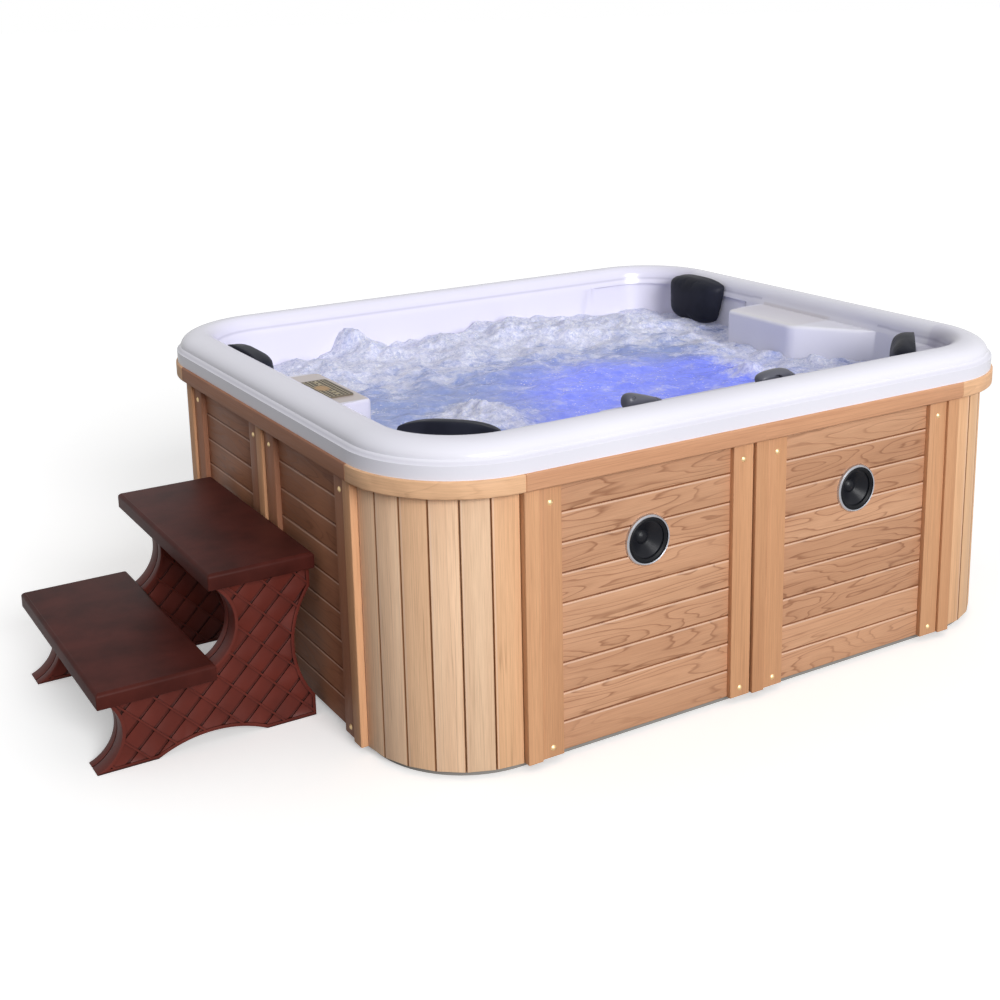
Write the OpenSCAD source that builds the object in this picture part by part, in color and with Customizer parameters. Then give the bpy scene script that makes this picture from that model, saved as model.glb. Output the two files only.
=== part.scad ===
// Free-standing hot tub: wood-clad cabinet, moulded acrylic shell, its equipment, and a two-step stool.
// Origin: centre of the cabinet's base on the floor. X runs along the long sides, the front faces -Y.

/* [Overall] */
// Length over the wooden trim
tub_length = 2200; // [1900:10:2600]
// Width over the wooden trim
tub_width = 1910; // [1650:10:2300]
// Height from the floor to the top of the rim
tub_height = 900; // [840:5:980]
// Plan radius of the corners, measured at the trim
corner_radius = 335; // [300:5:400]

/* [Cabinet] */
// Height of the underside of the cladding above the floor
skirt_bottom = 18; // [12:1:40]
// Height of the wooden trim rail
trim_height = 48; // [30:1:70]
// How far the trim stands out from the panel stiles
trim_overhang = 20; // [10:1:30]
// How far the boards lie behind the stiles
board_recess = 15; // [6:1:20]
// Thickness of the boards and corner slats
board_thickness = 15; // [12:1:22]
// Boards in each panel
boards_per_panel = 9; // [6:1:12]
// Bevel along the long edges of each board
board_bevel = 2.5; // [1:0.5:4]
// Width of the panel stiles
stile_width = 68; // [50:1:90]
// Distance from the middle of a long or short side to the centre of its inner stile
inner_stile_at = 60; // [56:1:80]
// Width of the cover strip in the middle of each side
centre_strip_width = 43; // [30:1:44]
// Width of the cover strip beside each corner
corner_strip_width = 45; // [35:1:60]
// How far cover strips stand out from the stiles
strip_proud = 8; // [3:1:12]
// Slats round each corner
slats_per_corner = 6; // [4:1:8]
// Gap between neighbouring slats
slat_gap = 1.2; // [0.6:0.2:3]
// Depth of the timber frame members
frame_depth = 42; // [35:1:48]
// Height of the bottom rail of the frame
bottom_rail_height = 40; // [30:1:50]
// Height of the top rail of the frame
top_rail_height = 92; // [70:1:110]
// Radius of the domed screw caps
cap_radius = 8; // [5:0.5:10]
// Height of the lower screw caps above the bottom of the cladding
cap_low = 26; // [20:1:40]
// Distance of the upper screw caps below the trim
cap_high = 46; // [30:1:60]

/* [Shell] */
// Thickness of the acrylic shell
shell_thickness = 8; // [6:0.5:10]
// Height of the rim above the trim
rim_height = 89; // [80:1:100]
// How far the lip is set back from the face of the trim
lip_setback = 6; // [3:1:12]
// Height of the plain band at the foot of the lip
lip_band = 37; // [25:1:42]
// Depth of the step above that band
lip_step = 13; // [6:1:18]
// Radius of the inner roll of the rim
inner_roll = 40; // [30:1:44]
// Width of the rim from the lip to the basin wall
rim_width = 132; // [120:1:150]
// How far the basin wall leans in between the rim and the seats
wall_lean = 60; // [30:1:80]
// Height of the seats above the floor
seat_height = 340; // [320:5:400]
// Thickness of the footwell floor
floor_thickness = 12; // [8:1:20]
// Length of the footwell
footwell_length = 1040; // [900:10:1200]
// Width of the footwell
footwell_width = 780; // [650:10:900]
// Plan radius of the footwell corners
footwell_radius = 120; // [60:5:160]

/* [Consoles] */
// Length of the control console on the left wall
left_console_length = 378; // [340:2:460]
// How far that console stands in from the rim
left_console_reach = 102; // [95:1:130]
// Depth of its top below the rim crest
left_console_drop = 26; // [22:1:40]
// Length of the flat part of the right console
right_console_length = 346; // [250:2:420]
// How far the right console stands in from the rim
right_console_reach = 171; // [150:1:200]
// Depth of its top below the rim crest
right_console_drop = 60; // [60:1:90]
// Length of the slanted end of the right console
right_console_taper = 234; // [150:2:260]
// Length of the valve ledge on the front wall
front_ledge_length = 760; // [700:5:800]
// How far the valve ledge stands in from the rim
front_ledge_reach = 95; // [85:1:120]
// Depth of the valve ledge below the rim crest
front_ledge_drop = 40; // [36:1:48]

/* [Pillows] */
// Length of a pillow along the wall
pillow_length = 300; // [260:5:310]
// Height of a pillow
pillow_height = 180; // [150:2:184]
// Thickness of a pillow at its crown
pillow_thickness = 72; // [50:1:76]
// Height of the middle of the pillows below the rim crest
pillow_drop = 95; // [92:1:110]
// Distance from the centre of each front corner to the flat rest behind its pillow
corner_rest_at = 100; // [90:2:120]
// Distance of the left wall pillow from the centre of the back corner
left_pillow_from_corner = 190; // [180:5:210]
// Distance of the right wall pillow from the centre of the back corner
right_pillow_from_corner = 90; // [80:5:160]

/* [Controls and jets] */
// Length of the control panel
panel_length = 200; // [190:2:230]
// Width of the control panel
panel_width = 80; // [74:1:82]
// Key travel
key_travel = 0.8; // [0.5:0.1:1.2]
// Diameter of a press key
key_diameter = 13; // [10:0.5:14]
// Length of a valve handle
handle_length = 138; // [110:2:150]
// Height of a valve handle
handle_height = 34; // [26:1:40]
// Radius of the large jet faces
jet_radius = 55; // [45:1:60]
// Distance of the right wall's large jet from the centre of the back corner
right_jet_from_corner = 140; // [120:5:160]
// Radius of the small jet faces
small_jet_radius = 22; // [18:1:26]
// Height of the large jets above the floor
jet_height = 550; // [500:5:560]

/* [Speakers] */
// Distance of each speaker from the middle of the front
speaker_at = 373; // [320:1:420]
// Height of the speakers above the floor
speaker_height = 548; // [450:1:600]
// Outer radius of the speaker bezel
speaker_radius = 72; // [60:1:80]
// Cone excursion each way
cone_travel = 1.5; // [0.5:0.1:2.5]

/* [Equipment] */
// Radius of the pump motor
motor_radius = 78; // [65:1:90]
// Length of the pump motor
motor_length = 250; // [200:5:280]
// Radius of the pump shaft
shaft_radius = 8; // [6:0.5:10]
// Radius of the main pipes
pipe_radius = 30; // [24:1:32]
// Bend radius of the suction pipe
suction_bend = 45; // [36:1:60]
// Bend radius of the pressure pipe
pressure_bend = 34; // [33:1:40]
// Radius of the filter canister
canister_radius = 82; // [70:1:90]
// Length of the filter canister
canister_length = 250; // [200:5:280]
// Radius of the hose spigot on the drain
spigot_radius = 13.2; // [10:0.1:16]
// Radius of the bore in the power cable gland
gland_bore = 9; // [6:0.5:12]

/* [Steps] */
// Length of the treads
tread_length = 800; // [600:10:900]
// Thickness of the treads at their edges
tread_thickness = 46; // [30:1:60]
// Depth of the upper tread
upper_tread_depth = 302; // [280:2:320]
// Depth of the lower tread
lower_tread_depth = 322; // [310:2:330]
// Height of the upper tread
upper_tread_top = 500; // [480:1:540]
// Height of the lower tread
lower_tread_top = 248; // [236:1:260]
// Thickness of the side panels
side_thickness = 80; // [60:1:100]
// How far the treads overhang the side panels
tread_overhang = 46; // [20:1:60]
// Gap between the steps and the cabinet
steps_gap = 8; // [4:1:40]
// How far the steps stand towards the back of the left side
steps_shift = 10; // [0:2:60]
// Spacing of the thin raised ribs on the side panels
rib_pitch = 67.5; // [50:0.5:90]
// Spacing of the wide grooves on the side panels
groove_pitch = 54; // [40:0.5:70]

/* [Hidden] */
$fn = 72;

// Clearances
seat_gap = 0.3;
slide_fit = 0.05;
eps = 1;

// Corner centres of every rounded outline, and the distances outward from them
cx = tub_length / 2 - corner_radius;
cy = tub_width / 2 - corner_radius;
d_trim = corner_radius;
d_lip = d_trim - lip_setback;
d_stile = d_trim - trim_overhang;
d_board = d_stile - board_recess;
d_back = d_board - board_thickness;
d_strip = d_stile + strip_proud;
d_frame = d_back - frame_depth;
left_pillow_at = cy - left_pillow_from_corner;
right_pillow_at = cy - right_pillow_from_corner;

// Heights
trim_top = tub_height - rim_height;
trim_bottom = trim_top - trim_height;
board_pitch = (trim_bottom - skirt_bottom) / boards_per_panel;
post_bottom = skirt_bottom + bottom_rail_height;

// Basin wall, as a distance from the corner centres at a height
crest_height = tub_height;
wall_top = crest_height - 58;
wall_slope = wall_lean / (wall_top - seat_height);
roll_height = crest_height - inner_roll;
roll_end = 10;
roll_at = rim_width - inner_roll * cos(roll_end) - 7;
slope_rise = rim_height - lip_band - lip_step;
slope_reach = roll_at - lip_step;
function wall_d(z) = d_lip - rim_width - (wall_top - z) * wall_slope;
wall_tilt = atan(wall_slope);

// Height of the rim's slope, a quarter of an ellipse, at a distance d and g inside its outer face
function slope_height(d, g) = crest_height - slope_rise
    + (slope_rise - g) * sqrt(1 - pow((d - d_lip + roll_at) / (slope_reach - g), 2));
rail_top = slope_height(d_back, shell_thickness) - 2 * seat_gap;
rail_bottom = rail_top - top_rail_height;

// Sides: 0 front, 1 right, 2 back, 3 left
function along(k) = k % 2 == 0 ? cx : cy;
function out(k) = k % 2 == 0 ? cy : cx;
corner_stile_inset = corner_strip_width + 1 + stile_width / 2;
function outer_stile_at(k) = along(k) - corner_stile_inset;
slat_angle = 90 / slats_per_corner;

module on_side(k) rotate([0, 0, 90 * k]) translate([0, -out(k), 0]) children();

module at_corners() {
    translate([cx, cy, 0]) children();
    translate([-cx, cy, 0]) rotate([0, 0, 90]) children();
    translate([-cx, -cy, 0]) rotate([0, 0, 180]) children();
    translate([cx, -cy, 0]) rotate([0, 0, 270]) children();
}

// A profile of (distance, height) run round the tub: straight lengths, then corners
module straight_run(k) on_side(k) translate([-along(k), 0, 0])
    rotate([90, 0, 90]) linear_extrude(2 * along(k)) mirror([1, 0]) children();
module corner_run() rotate_extrude(angle = 90) children();
module ring_run() {
    for (k = [0:3]) straight_run(k) children();
    at_corners() corner_run() children();
}

// A rounded rectangle reaching d beyond the corner centres
module rounded_plan(d) {
    square([2 * cx, 2 * (cy + d)], center = true);
    square([2 * (cx + d), 2 * cy], center = true);
    for (x = [-cx, cx], y = [-cy, cy]) translate([x, y]) circle(d);
}

module rounded_rect(l, w, r) {
    square([l - 2 * r, w], center = true);
    square([l, w - 2 * r], center = true);
    for (x = [-1, 1], y = [-1, 1]) translate([x * (l / 2 - r), y * (w / 2 - r)]) circle(r);
}

function arc(x, y, r, from, to, steps) =
    [for (i = [0:steps]) let (a = from + (to - from) * i / steps) [x + r * cos(a), y + r * sin(a)]];

// Cabinet
module base_pan() color("dimgray")
    difference() {
        linear_extrude(skirt_bottom) rounded_plan(d_back - 2);
        // Channels in the underside, which stiffen the pan
        for (x = [-450:300:450]) translate([x - 20, -cy, -eps]) cube([40, 2 * cy, 5 + eps]);
    }

module frame_section(z0, z1) translate([d_frame, z0]) square([frame_depth, z1 - z0]);

module frame_ring(z0, z1) {
    for (k = [0:3]) straight_run(k) frame_section(z0, z1);
    at_corners() corner_run() frame_section(z0, z1);
}

module frame_bottom_rail() color("burlywood") frame_ring(skirt_bottom, post_bottom);

module frame_top_rail() color("burlywood") frame_ring(rail_bottom, rail_top);

module frame_posts() color("burlywood") {
    centre_w = 2 * inner_stile_at + stile_width - 8;
    for (k = [0:3]) on_side(k) {
        translate([-centre_w / 2, -d_back, post_bottom])
            cube([centre_w, frame_depth, rail_bottom - post_bottom]);
        corner_w = stile_width + corner_strip_width - 4;
        for (s = [-1, 1]) translate([s * (along(k) - corner_w / 2) - corner_w / 2, -d_back, post_bottom])
            cube([corner_w, frame_depth, rail_bottom - post_bottom]);
    }
    // Round the corners the slats are nailed to one more post
    at_corners() rotate([0, 0, 45]) translate([d_frame, -30, post_bottom])
        cube([frame_depth - 2, 60, rail_bottom - post_bottom]);
}

module board_section(z) polygon([[-d_back, z], [-d_board + board_bevel, z], [-d_board, z + board_bevel],
    [-d_board, z + board_pitch - board_bevel], [-d_board + board_bevel, z + board_pitch],
    [-d_back, z + board_pitch]]);

module boards(k) color("peru") difference() {
    from = inner_stile_at + stile_width / 2;
    to = outer_stile_at(k) - stile_width / 2;
    on_side(k) for (s = [-1, 1], i = [0:boards_per_panel - 1])
        translate([s > 0 ? from : -to, 0, 0]) rotate([90, 0, 90])
            linear_extrude(to - from) board_section(skirt_bottom + i * board_pitch);
    if (k == 0) for (s = [-1, 1]) speaker_at_place(s) translate([0, 0, -60]) cylinder(r = basket_radius + 1, h = 120);
    if (k == 2) {
        drain_place() translate([0, 0, -40]) cylinder(r = drain_pipe_radius + 0.5, h = 80);
        gland_place() translate([0, 0, -40]) cylinder(r = gland_shank + slide_fit, h = 80);
    }
}

module stiles(k) color("tan") on_side(k)
    for (s = [-1, 1], at = [inner_stile_at, outer_stile_at(k)])
        translate([s * at - stile_width / 2, -d_stile, skirt_bottom])
            cube([stile_width, d_stile - d_back, trim_bottom - skirt_bottom]);

module strip_bar(w) translate([-w / 2, -d_strip, skirt_bottom]) {
    cube([w, d_strip - d_back, trim_bottom - skirt_bottom]);
}

module cover_strips() color("peru") for (k = [0:3]) on_side(k) {
    strip_bar(centre_strip_width);
    for (s = [-1, 1]) translate([s * (along(k) - corner_strip_width / 2), 0, 0])
        strip_bar(corner_strip_width);
}

module corner_slats() color("wheat") at_corners()
    for (i = [0:slats_per_corner - 1]) rotate([0, 0, (i + 0.5) * slat_angle]) {
        half = tan(slat_angle / 2);
        translate([0, 0, skirt_bottom]) linear_extrude(trim_bottom - skirt_bottom)
            polygon([[d_back, -d_back * half + slat_gap / 2], [d_board, -d_board * half + slat_gap / 2],
                [d_board, d_board * half - slat_gap / 2], [d_back, d_back * half - slat_gap / 2]]);
    }

module trim_section() {
    b = 5;
    x0 = d_back;
    polygon(concat([[x0, trim_bottom], [d_trim - b, trim_bottom]],
        arc(d_trim - b, trim_bottom + b, b, -60, 0, 3),
        arc(d_trim - b, trim_top - b, b, 0, 60, 3),
        [[d_trim - b, trim_top], [x0, trim_top]]));
}

module trim_rails() color("sandybrown") for (k = [0:3]) straight_run(k) trim_section();

module trim_corners() color("sandybrown") at_corners() corner_run() trim_section();

module screw_caps() color("goldenrod")
    for (k = [0:3], s = [-1, 1], at = [inner_stile_at, outer_stile_at(k)],
        z = [skirt_bottom + cap_low, trim_bottom - cap_high])
        on_side(k) translate([s * at, -d_stile, z]) rotate([90, 0, 0]) cap_dome();

// The top of a ball, flat at the back
module cap_dome() {
    rise = cap_radius * 0.45;
    ball = (cap_radius * cap_radius + rise * rise) / (2 * rise);
    intersection() {
        translate([0, 0, rise - ball]) sphere(ball);
        cylinder(r = cap_radius, h = rise + eps);
    }
}

// Shell
// The broad slope from the step up to the crest
slope_steps = 9;
function rim_slope(g) = [for (i = [1:slope_steps - 1])
    let (d = d_lip - roll_at + (slope_reach - g) * cos(90 * i / slope_steps))
    [d, slope_height(d, g)]];

// The skin of the rim from the foot of the lip to the top of the basin wall, g inside its outer face
function rim_skin(g) = concat(
    [[d_lip - g, trim_top], [d_lip - g, trim_top + lip_band - g * 0.4]],
    [[d_lip - lip_step - g, trim_top + lip_band + lip_step - g * 0.4]],
    rim_slope(g),
    [for (p = arc(roll_at, roll_height, inner_roll - g, 90, -roll_end, 8)) [d_lip - p[0], p[1]]],
    [[wall_d(wall_top) + g, wall_top]]);

module rim_section() polygon(concat(rim_skin(0), [for (i = [len(rim_skin(0)) - 1:-1:0]) rim_skin(shell_thickness)[i]]));

// The space inside the basin wall, grown by g
module basin_space(g, z0, z1) {
    ring_run() polygon([[0, z0], [wall_d(z0) + g, z0], [wall_d(z1) + g, z1], [0, z1]]);
    translate([-cx, -cy, z0]) cube([2 * cx, 2 * cy, z1 - z0]);
}

module footwell_space(g, z0, z1) translate([0, 0, z0])
    linear_extrude(z1 - z0) rounded_rect(footwell_length + 2 * g, footwell_width + 2 * g, footwell_radius + g);

rim_back = d_lip - roll_at - inner_roll + 2;
left_console_d = d_lip - rim_width - left_console_reach;
left_console_top = crest_height - left_console_drop;
left_console_from = -68;
right_console_d = d_lip - rim_width - right_console_reach;
right_console_top = crest_height - right_console_drop;
right_console_to = 180;
front_ledge_d = d_lip - rim_width - front_ledge_reach;
front_ledge_top = crest_height - front_ledge_drop;
front_ledge_mid = -30;
corner_rest_top = wall_top - 6;

// Plan of a console from its wall, shrunk by g
module console_plan(from, to, d_in, reach_out, g, r = 30) {
    translate([from + g, -reach_out]) square([to - from - 2 * g, reach_out - d_in - r - g]);
    translate([from + g + r, -d_in - r - 2 * g - 1]) square([to - from - 2 * g - 2 * r, r + g + 1]);
    for (x = [from + g + r, to - g - r]) translate([x, -d_in - r - g]) circle(r);
}

module left_console(g, reach_out, z0) on_side(3) translate([0, 0, z0])
    linear_extrude(left_console_top - g - z0)
        console_plan(left_console_from, left_console_from + left_console_length, left_console_d, reach_out, g);

module front_ledge(g, reach_out, z0) on_side(0) translate([0, 0, z0])
    linear_extrude(front_ledge_top - g - z0)
        console_plan(front_ledge_mid - front_ledge_length / 2, front_ledge_mid + front_ledge_length / 2,
            front_ledge_d, reach_out, g);

module right_console(g, reach_out, z0) on_side(1) translate([0, 0, z0])
    linear_extrude(right_console_top - g - z0) {
        to = right_console_to - g;
        from = right_console_to - right_console_length;
        d_in = right_console_d + g;
        polygon([[to, -reach_out], [to, -d_in], [from + g * 0.5, -d_in],
            [from - right_console_taper + g, -wall_d(wall_top)], [from - right_console_taper + g, -reach_out]]);
    }

// Flat rests across the front corners, behind the pillows
module corner_rests(g, reach_out, z0) for (s = [-1, 1])
    translate([s * cx, -cy, z0]) rotate([0, 0, 45 * s]) translate([-reach_out, -reach_out, 0])
        cube([2 * reach_out, reach_out - corner_rest_at - g, corner_rest_top - g - z0]);

module tub_shell() color("ghostwhite") {
    t = shell_thickness;
    deck = seat_height - t;
    difference() {
        union() {
            ring_run() rim_section();
            basin_space(t, deck, wall_top);
            footwell_space(t, skirt_bottom, deck + eps);
            // Console tops run out under the roll of the rim
            intersection() {
                left_console(0, rim_back, left_console_top - t);
                basin_top();
            }
            intersection() {
                front_ledge(0, rim_back, front_ledge_top - t);
                basin_top();
            }
        }
        difference() {
            basin_space(0, seat_height, wall_top + eps);
            left_console(0, rim_back, deck);
            right_console(0, rim_back, deck);
            front_ledge(0, rim_back, deck);
            corner_rests(0, rim_back, deck);
        }
        footwell_space(0, skirt_bottom + floor_thickness, seat_height + eps);
        left_console(t, rim_back + 40, deck - eps);
        right_console(t, rim_back + 40, deck - eps);
        front_ledge(t, rim_back + 40, deck - eps);
        corner_rests(t, rim_back + 10, deck - eps);
        shell_holes();
    }
}

module basin_top() translate([0, 0, wall_top - 2 * eps]) linear_extrude(tub_height - wall_top)
    rounded_plan(rim_back);

module shell_holes() {
    for (j = large_jets) jet_place(j) translate([0, 0, -60]) cylinder(r = jet_barrel + seat_gap, h = 80);
    for (j = large_jets, p = small_jet_spots) jet_place([j[0], j[1] + p[0], j[2] + p[1]])
        translate([0, 0, -60]) cylinder(r = small_jet_barrel, h = 80);
    for (y = suction_spots) suction_place(y) translate([0, 0, -40]) cylinder(r = suction_barrel, h = 80);
    light_place() translate([0, 0, -40]) cylinder(r = light_barrel, h = 80);
    filter_place() translate([0, 0, -40]) cylinder(r = canister_radius - 4, h = 80);
    drain_place() translate([0, 0, -drain_run - 40]) cylinder(r = drain_pipe_radius, h = 80);
    panel_place() translate([0, 0, -60])
        linear_extrude(120) square([panel_length - 16, panel_width - 16], center = true);
    for (s = [-1, 1]) valve_place(s) translate([0, 0, -60]) cylinder(r = valve_neck, h = 120);
}

// Jets: side, place along it, height
large_jets = [[3, -left_pillow_at, jet_height], [0, -600, jet_height], [0, 600, jet_height],
    [1, cy - right_jet_from_corner, jet_height]];
small_jet_spots = [[-70, -90], [70, -90], [0, 100]];
jet_barrel = 34;
jet_bore = jet_barrel - 5;
small_jet_barrel = 13;

// A frame on the basin wall, Z pointing into the tub
module jet_place(j) on_side(j[0]) translate([j[1], -wall_d(j[2]), j[2]]) rotate([wall_tilt - 90, 0, 0]) children();

module jet_bodies() color("silver") for (j = large_jets) jet_place(j) difference() {
    union() {
        translate([0, 0, -shell_thickness - 46]) cylinder(r = jet_barrel, h = 46 + shell_thickness);
        translate([0, 0, -shell_thickness - seat_gap - 10]) cylinder(r = jet_barrel + 12, h = 10);
        translate([0, 0, -shell_thickness - 30]) rotate([0, 90, 0]) cylinder(r = 11, h = jet_barrel + 22);
    }
    translate([0, 0, -shell_thickness - 36]) cylinder(r = jet_bore, h = 80);
}

module jet_face(i) color("gainsboro") jet_place(large_jets[i]) {
    lobes = 5;
    difference() {
        union() {
            translate([0, 0, seat_gap]) cylinder(r = jet_radius, h = 5);
            translate([0, 0, seat_gap + 5]) cylinder(r = jet_radius - 6, h = 5);
            translate([0, 0, -shell_thickness - 30]) cylinder(r = jet_bore - slide_fit, h = 36 + shell_thickness);
        }
        translate([0, 0, -60]) cylinder(r = 9, h = 90);
        for (a = [0:lobes - 1]) rotate([0, 0, a * 360 / lobes]) translate([jet_radius - 20, 0, 4])
            cylinder(r = 9, h = 20);
    }
}

module small_jets() color("silver")
    for (j = large_jets, p = small_jet_spots) jet_place([j[0], j[1] + p[0], j[2] + p[1]]) difference() {
        union() {
            cylinder(r = small_jet_radius, h = 5);
            translate([0, 0, -shell_thickness - 24]) cylinder(r = small_jet_barrel, h = 26 + shell_thickness);
        }
        translate([0, 0, -shell_thickness - 16]) cylinder(r = 6, h = 80);
    }

// Footwell fittings
suction_spots = [-150, 50];
suction_barrel = pipe_radius + 4;
module suction_place(y) translate([-footwell_length / 2, y, suction_z]) rotate([0, 90, 0]) children();

module suction_covers() color("whitesmoke") for (y = suction_spots) suction_place(y) difference() {
    union() {
        cylinder(r = 58, h = 12);
        translate([0, 0, -shell_thickness - 20]) cylinder(r = suction_barrel, h = 22 + shell_thickness);
    }
    translate([0, 0, -shell_thickness - 30]) cylinder(r = pipe_radius, h = 36 + shell_thickness);
    for (a = [-40:16:40]) translate([-4, a - 4, 4]) cube([8, 8, 20]);
}

light_barrel = 30;
module light_place() translate([0, footwell_width / 2, skirt_bottom + 180]) rotate([90, 0, 0]) children();
module light_lens() color("lightblue") light_place() {
    intersection() {
        translate([0, 0, 14 - 120]) sphere(120);
        cylinder(r = 52, h = 20);
    }
    translate([0, 0, -shell_thickness - 24]) cylinder(r = light_barrel, h = 24 + shell_thickness + 1);
}

module filter_place() translate([footwell_length / 2, 0, skirt_bottom + 160]) rotate([0, -90, 0]) children();

module filter_canister() color("whitesmoke") filter_place() difference() {
    union() {
        translate([0, 0, -shell_thickness - canister_length]) cylinder(r = canister_radius, h = canister_length);
        translate([0, 0, -shell_thickness - 8]) cylinder(r = canister_radius + 12, h = 8);
        translate([0, 0, -shell_thickness - canister_length + 40]) rotate([0, 90, 0])
            cylinder(r = pipe_radius, h = canister_radius + 20);
    }
    translate([0, 0, -shell_thickness - canister_length + 5]) cylinder(r = canister_radius - 4, h = canister_length);
}

module filter_cartridge() color("lavender") filter_place() {
    pleats = 24;
    r = canister_radius - 22;
    z0 = -shell_thickness - canister_length + 5;
    difference() {
        union() {
            translate([0, 0, z0 + 12]) linear_extrude(canister_length - 44)
                polygon([for (i = [0:2 * pleats - 1]) (r - (i % 2) * 8) * [cos(i * 180 / pleats), sin(i * 180 / pleats)]]);
            translate([0, 0, z0]) cylinder(r = canister_radius - 4.3, h = 12);
            translate([0, 0, z0 + canister_length - 32]) cylinder(r = r + 2, h = 12);
        }
        translate([0, 0, z0 + 12]) cylinder(r = 22, h = canister_length);
    }
}

module filter_grille() color("whitesmoke") filter_place() difference() {
    union() {
        translate([0, 0, seat_gap]) cylinder(r = canister_radius + 14, h = 10);
        translate([0, 0, -10]) cylinder(r = canister_radius - 4 - seat_gap, h = 12);
    }
    translate([0, 0, -12]) cylinder(r = canister_radius - 12, h = 16);
    for (a = [-56:14:56]) translate([-56, a - 3, 0]) cube([112, 6, 20]);
}

// Drain through the back panel, closed by a ring that turns round its hub
drain_pipe_radius = 15;
drain_run = out(2) + d_board - footwell_width / 2;
drain_hub = 6;
module drain_place() translate([300, out(2) + d_board, skirt_bottom + 60]) rotate([-90, 0, 0]) children();

module drain_valve() color("darkslategray") drain_place() difference() {
    union() {
        translate([0, 0, -drain_run]) cylinder(r = drain_pipe_radius, h = drain_run);
        cylinder(r = 32, h = drain_hub);
        cylinder(r = 18, h = drain_hub + 12);
        cylinder(r = spigot_radius, h = drain_hub + 28);
    }
    translate([0, 0, -drain_run - eps]) cylinder(r = 10, h = drain_run + 60);
}

module drain_ring() color("slategray") drain_place() translate([0, 0, drain_hub + seat_gap]) difference() {
    union() {
        cylinder(r = 27, h = 11);
        for (a = [0:45:315]) rotate([0, 0, a]) translate([27, 0, 0]) cylinder(r = 3, h = 11);
    }
    translate([0, 0, -eps]) cylinder(r = 18 + slide_fit, h = 20);
}

// Inlet for the supply cable
gland_shank = gland_bore + 4;
module gland_place() translate([-300, out(2) + d_board, skirt_bottom + 60]) rotate([-90, 0, 0]) children();
module power_gland() color("black") gland_place() difference() {
    union() {
        translate([0, 0, -board_thickness - 20]) cylinder(r = gland_shank, h = board_thickness + 20);
        cylinder(r = gland_bore + 10, h = 8, $fn = 6);
        translate([0, 0, 8]) cylinder(r = gland_bore + 6, h = 14);
        translate([0, 0, -board_thickness - 8]) cylinder(r = gland_bore + 10, h = 8, $fn = 6);
    }
    translate([0, 0, -80]) cylinder(r = gland_bore, h = 160);
}

// Valves on the front ledge: Z up from the ledge
valve_neck = 20;
valve_spread = [-321, 145];
diverter_rest = 6;
module valve_place(s) translate([s < 0 ? valve_spread[0] : valve_spread[1],
    -cy - front_ledge_d - front_ledge_reach / 2 - 6, front_ledge_top]) children();

module valve_bodies() color("whitesmoke") for (s = [-1, 1]) valve_place(s) difference() {
    union() {
        cylinder(r = valve_neck + 10, h = 4);
        translate([0, 0, -shell_thickness - 90]) cylinder(r = valve_neck, h = 94 + shell_thickness);
        translate([0, 0, -shell_thickness - 70]) rotate([0, 90, 0]) cylinder(r = 14, h = 60);
    }
    translate([0, 0, -50]) cylinder(r = shaft_radius + slide_fit, h = 80);
}

// Tear-shaped lever, its broad end over the shaft
module valve_handle(s, turn) color("dimgray") valve_place(s) {
    r = 27;
    tip = handle_length - r - 12;
    translate([0, 0, -40]) cylinder(r = shaft_radius, h = 50);
    translate([0, 0, 4 + seat_gap]) rotate([0, 0, turn]) difference() {
        union() {
            linear_extrude(handle_height * 0.55) handle_plan(r, tip, 12);
            translate([0, 0, handle_height * 0.55]) linear_extrude(handle_height * 0.27)
                handle_plan(r - 5, tip - 6, 9);
            translate([0, 0, handle_height * 0.82]) linear_extrude(handle_height * 0.18)
                handle_plan(r - 11, tip - 18, 5);
        }
        // Finger scoop
        translate([tip * 0.62, r, handle_height * 1.25]) rotate([90, 0, 0])
            cylinder(r = handle_height * 0.75, h = 2 * r);
    }
}

module handle_plan(r0, tip, r1) hull() {
    circle(r0, $fn = 32);
    translate([tip, 0]) circle(r1, $fn = 32);
}

// Control panel: X along the left wall towards the back, Z up
panel_shift = -138;
panel_inset = 15;
module panel_place()
    translate([-cx - left_console_d - left_console_reach / 2 - panel_inset, panel_shift, left_console_top])
    rotate([0, 0, 90]) children();
key_spots = [[-74, 0], [-48, 0], [48, 0], [74, 0]];
key_hole = key_diameter + 0.6;
panel_face = 4;
display_at = [4, 12, 0];

module control_panel() color("darkolivegreen") panel_place() difference() {
    union() {
        linear_extrude(panel_face) rounded_rect(panel_length, panel_width, 8);
        translate([0, 0, -30]) linear_extrude(30) square([panel_length - 17, panel_width - 17], center = true);
    }
    translate([0, 0, panel_face - 1]) linear_extrude(2) rounded_rect(panel_length - 8, panel_width - 8, 5);
    for (p = key_spots) translate([p[0], p[1], -12]) cylinder(d = key_hole, h = 20);
}

module control_overlay() color("darkkhaki") panel_place() translate([0, 0, panel_face - 1]) difference() {
    union() {
        linear_extrude(1) rounded_rect(panel_length - 8, panel_width - 8, 5);
        translate(display_at) linear_extrude(1.6) rounded_rect(62, 40, 16);
    }
    for (p = key_spots) translate([p[0], p[1], -1]) cylinder(d = key_hole, h = 4);
}

module key(i) color("khaki") panel_place() translate([key_spots[i][0], key_spots[i][1], 0]) {
    translate([0, 0, -12 + key_travel + seat_gap]) cylinder(d = key_diameter, h = panel_face + 13.2 - key_travel);
}

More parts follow.
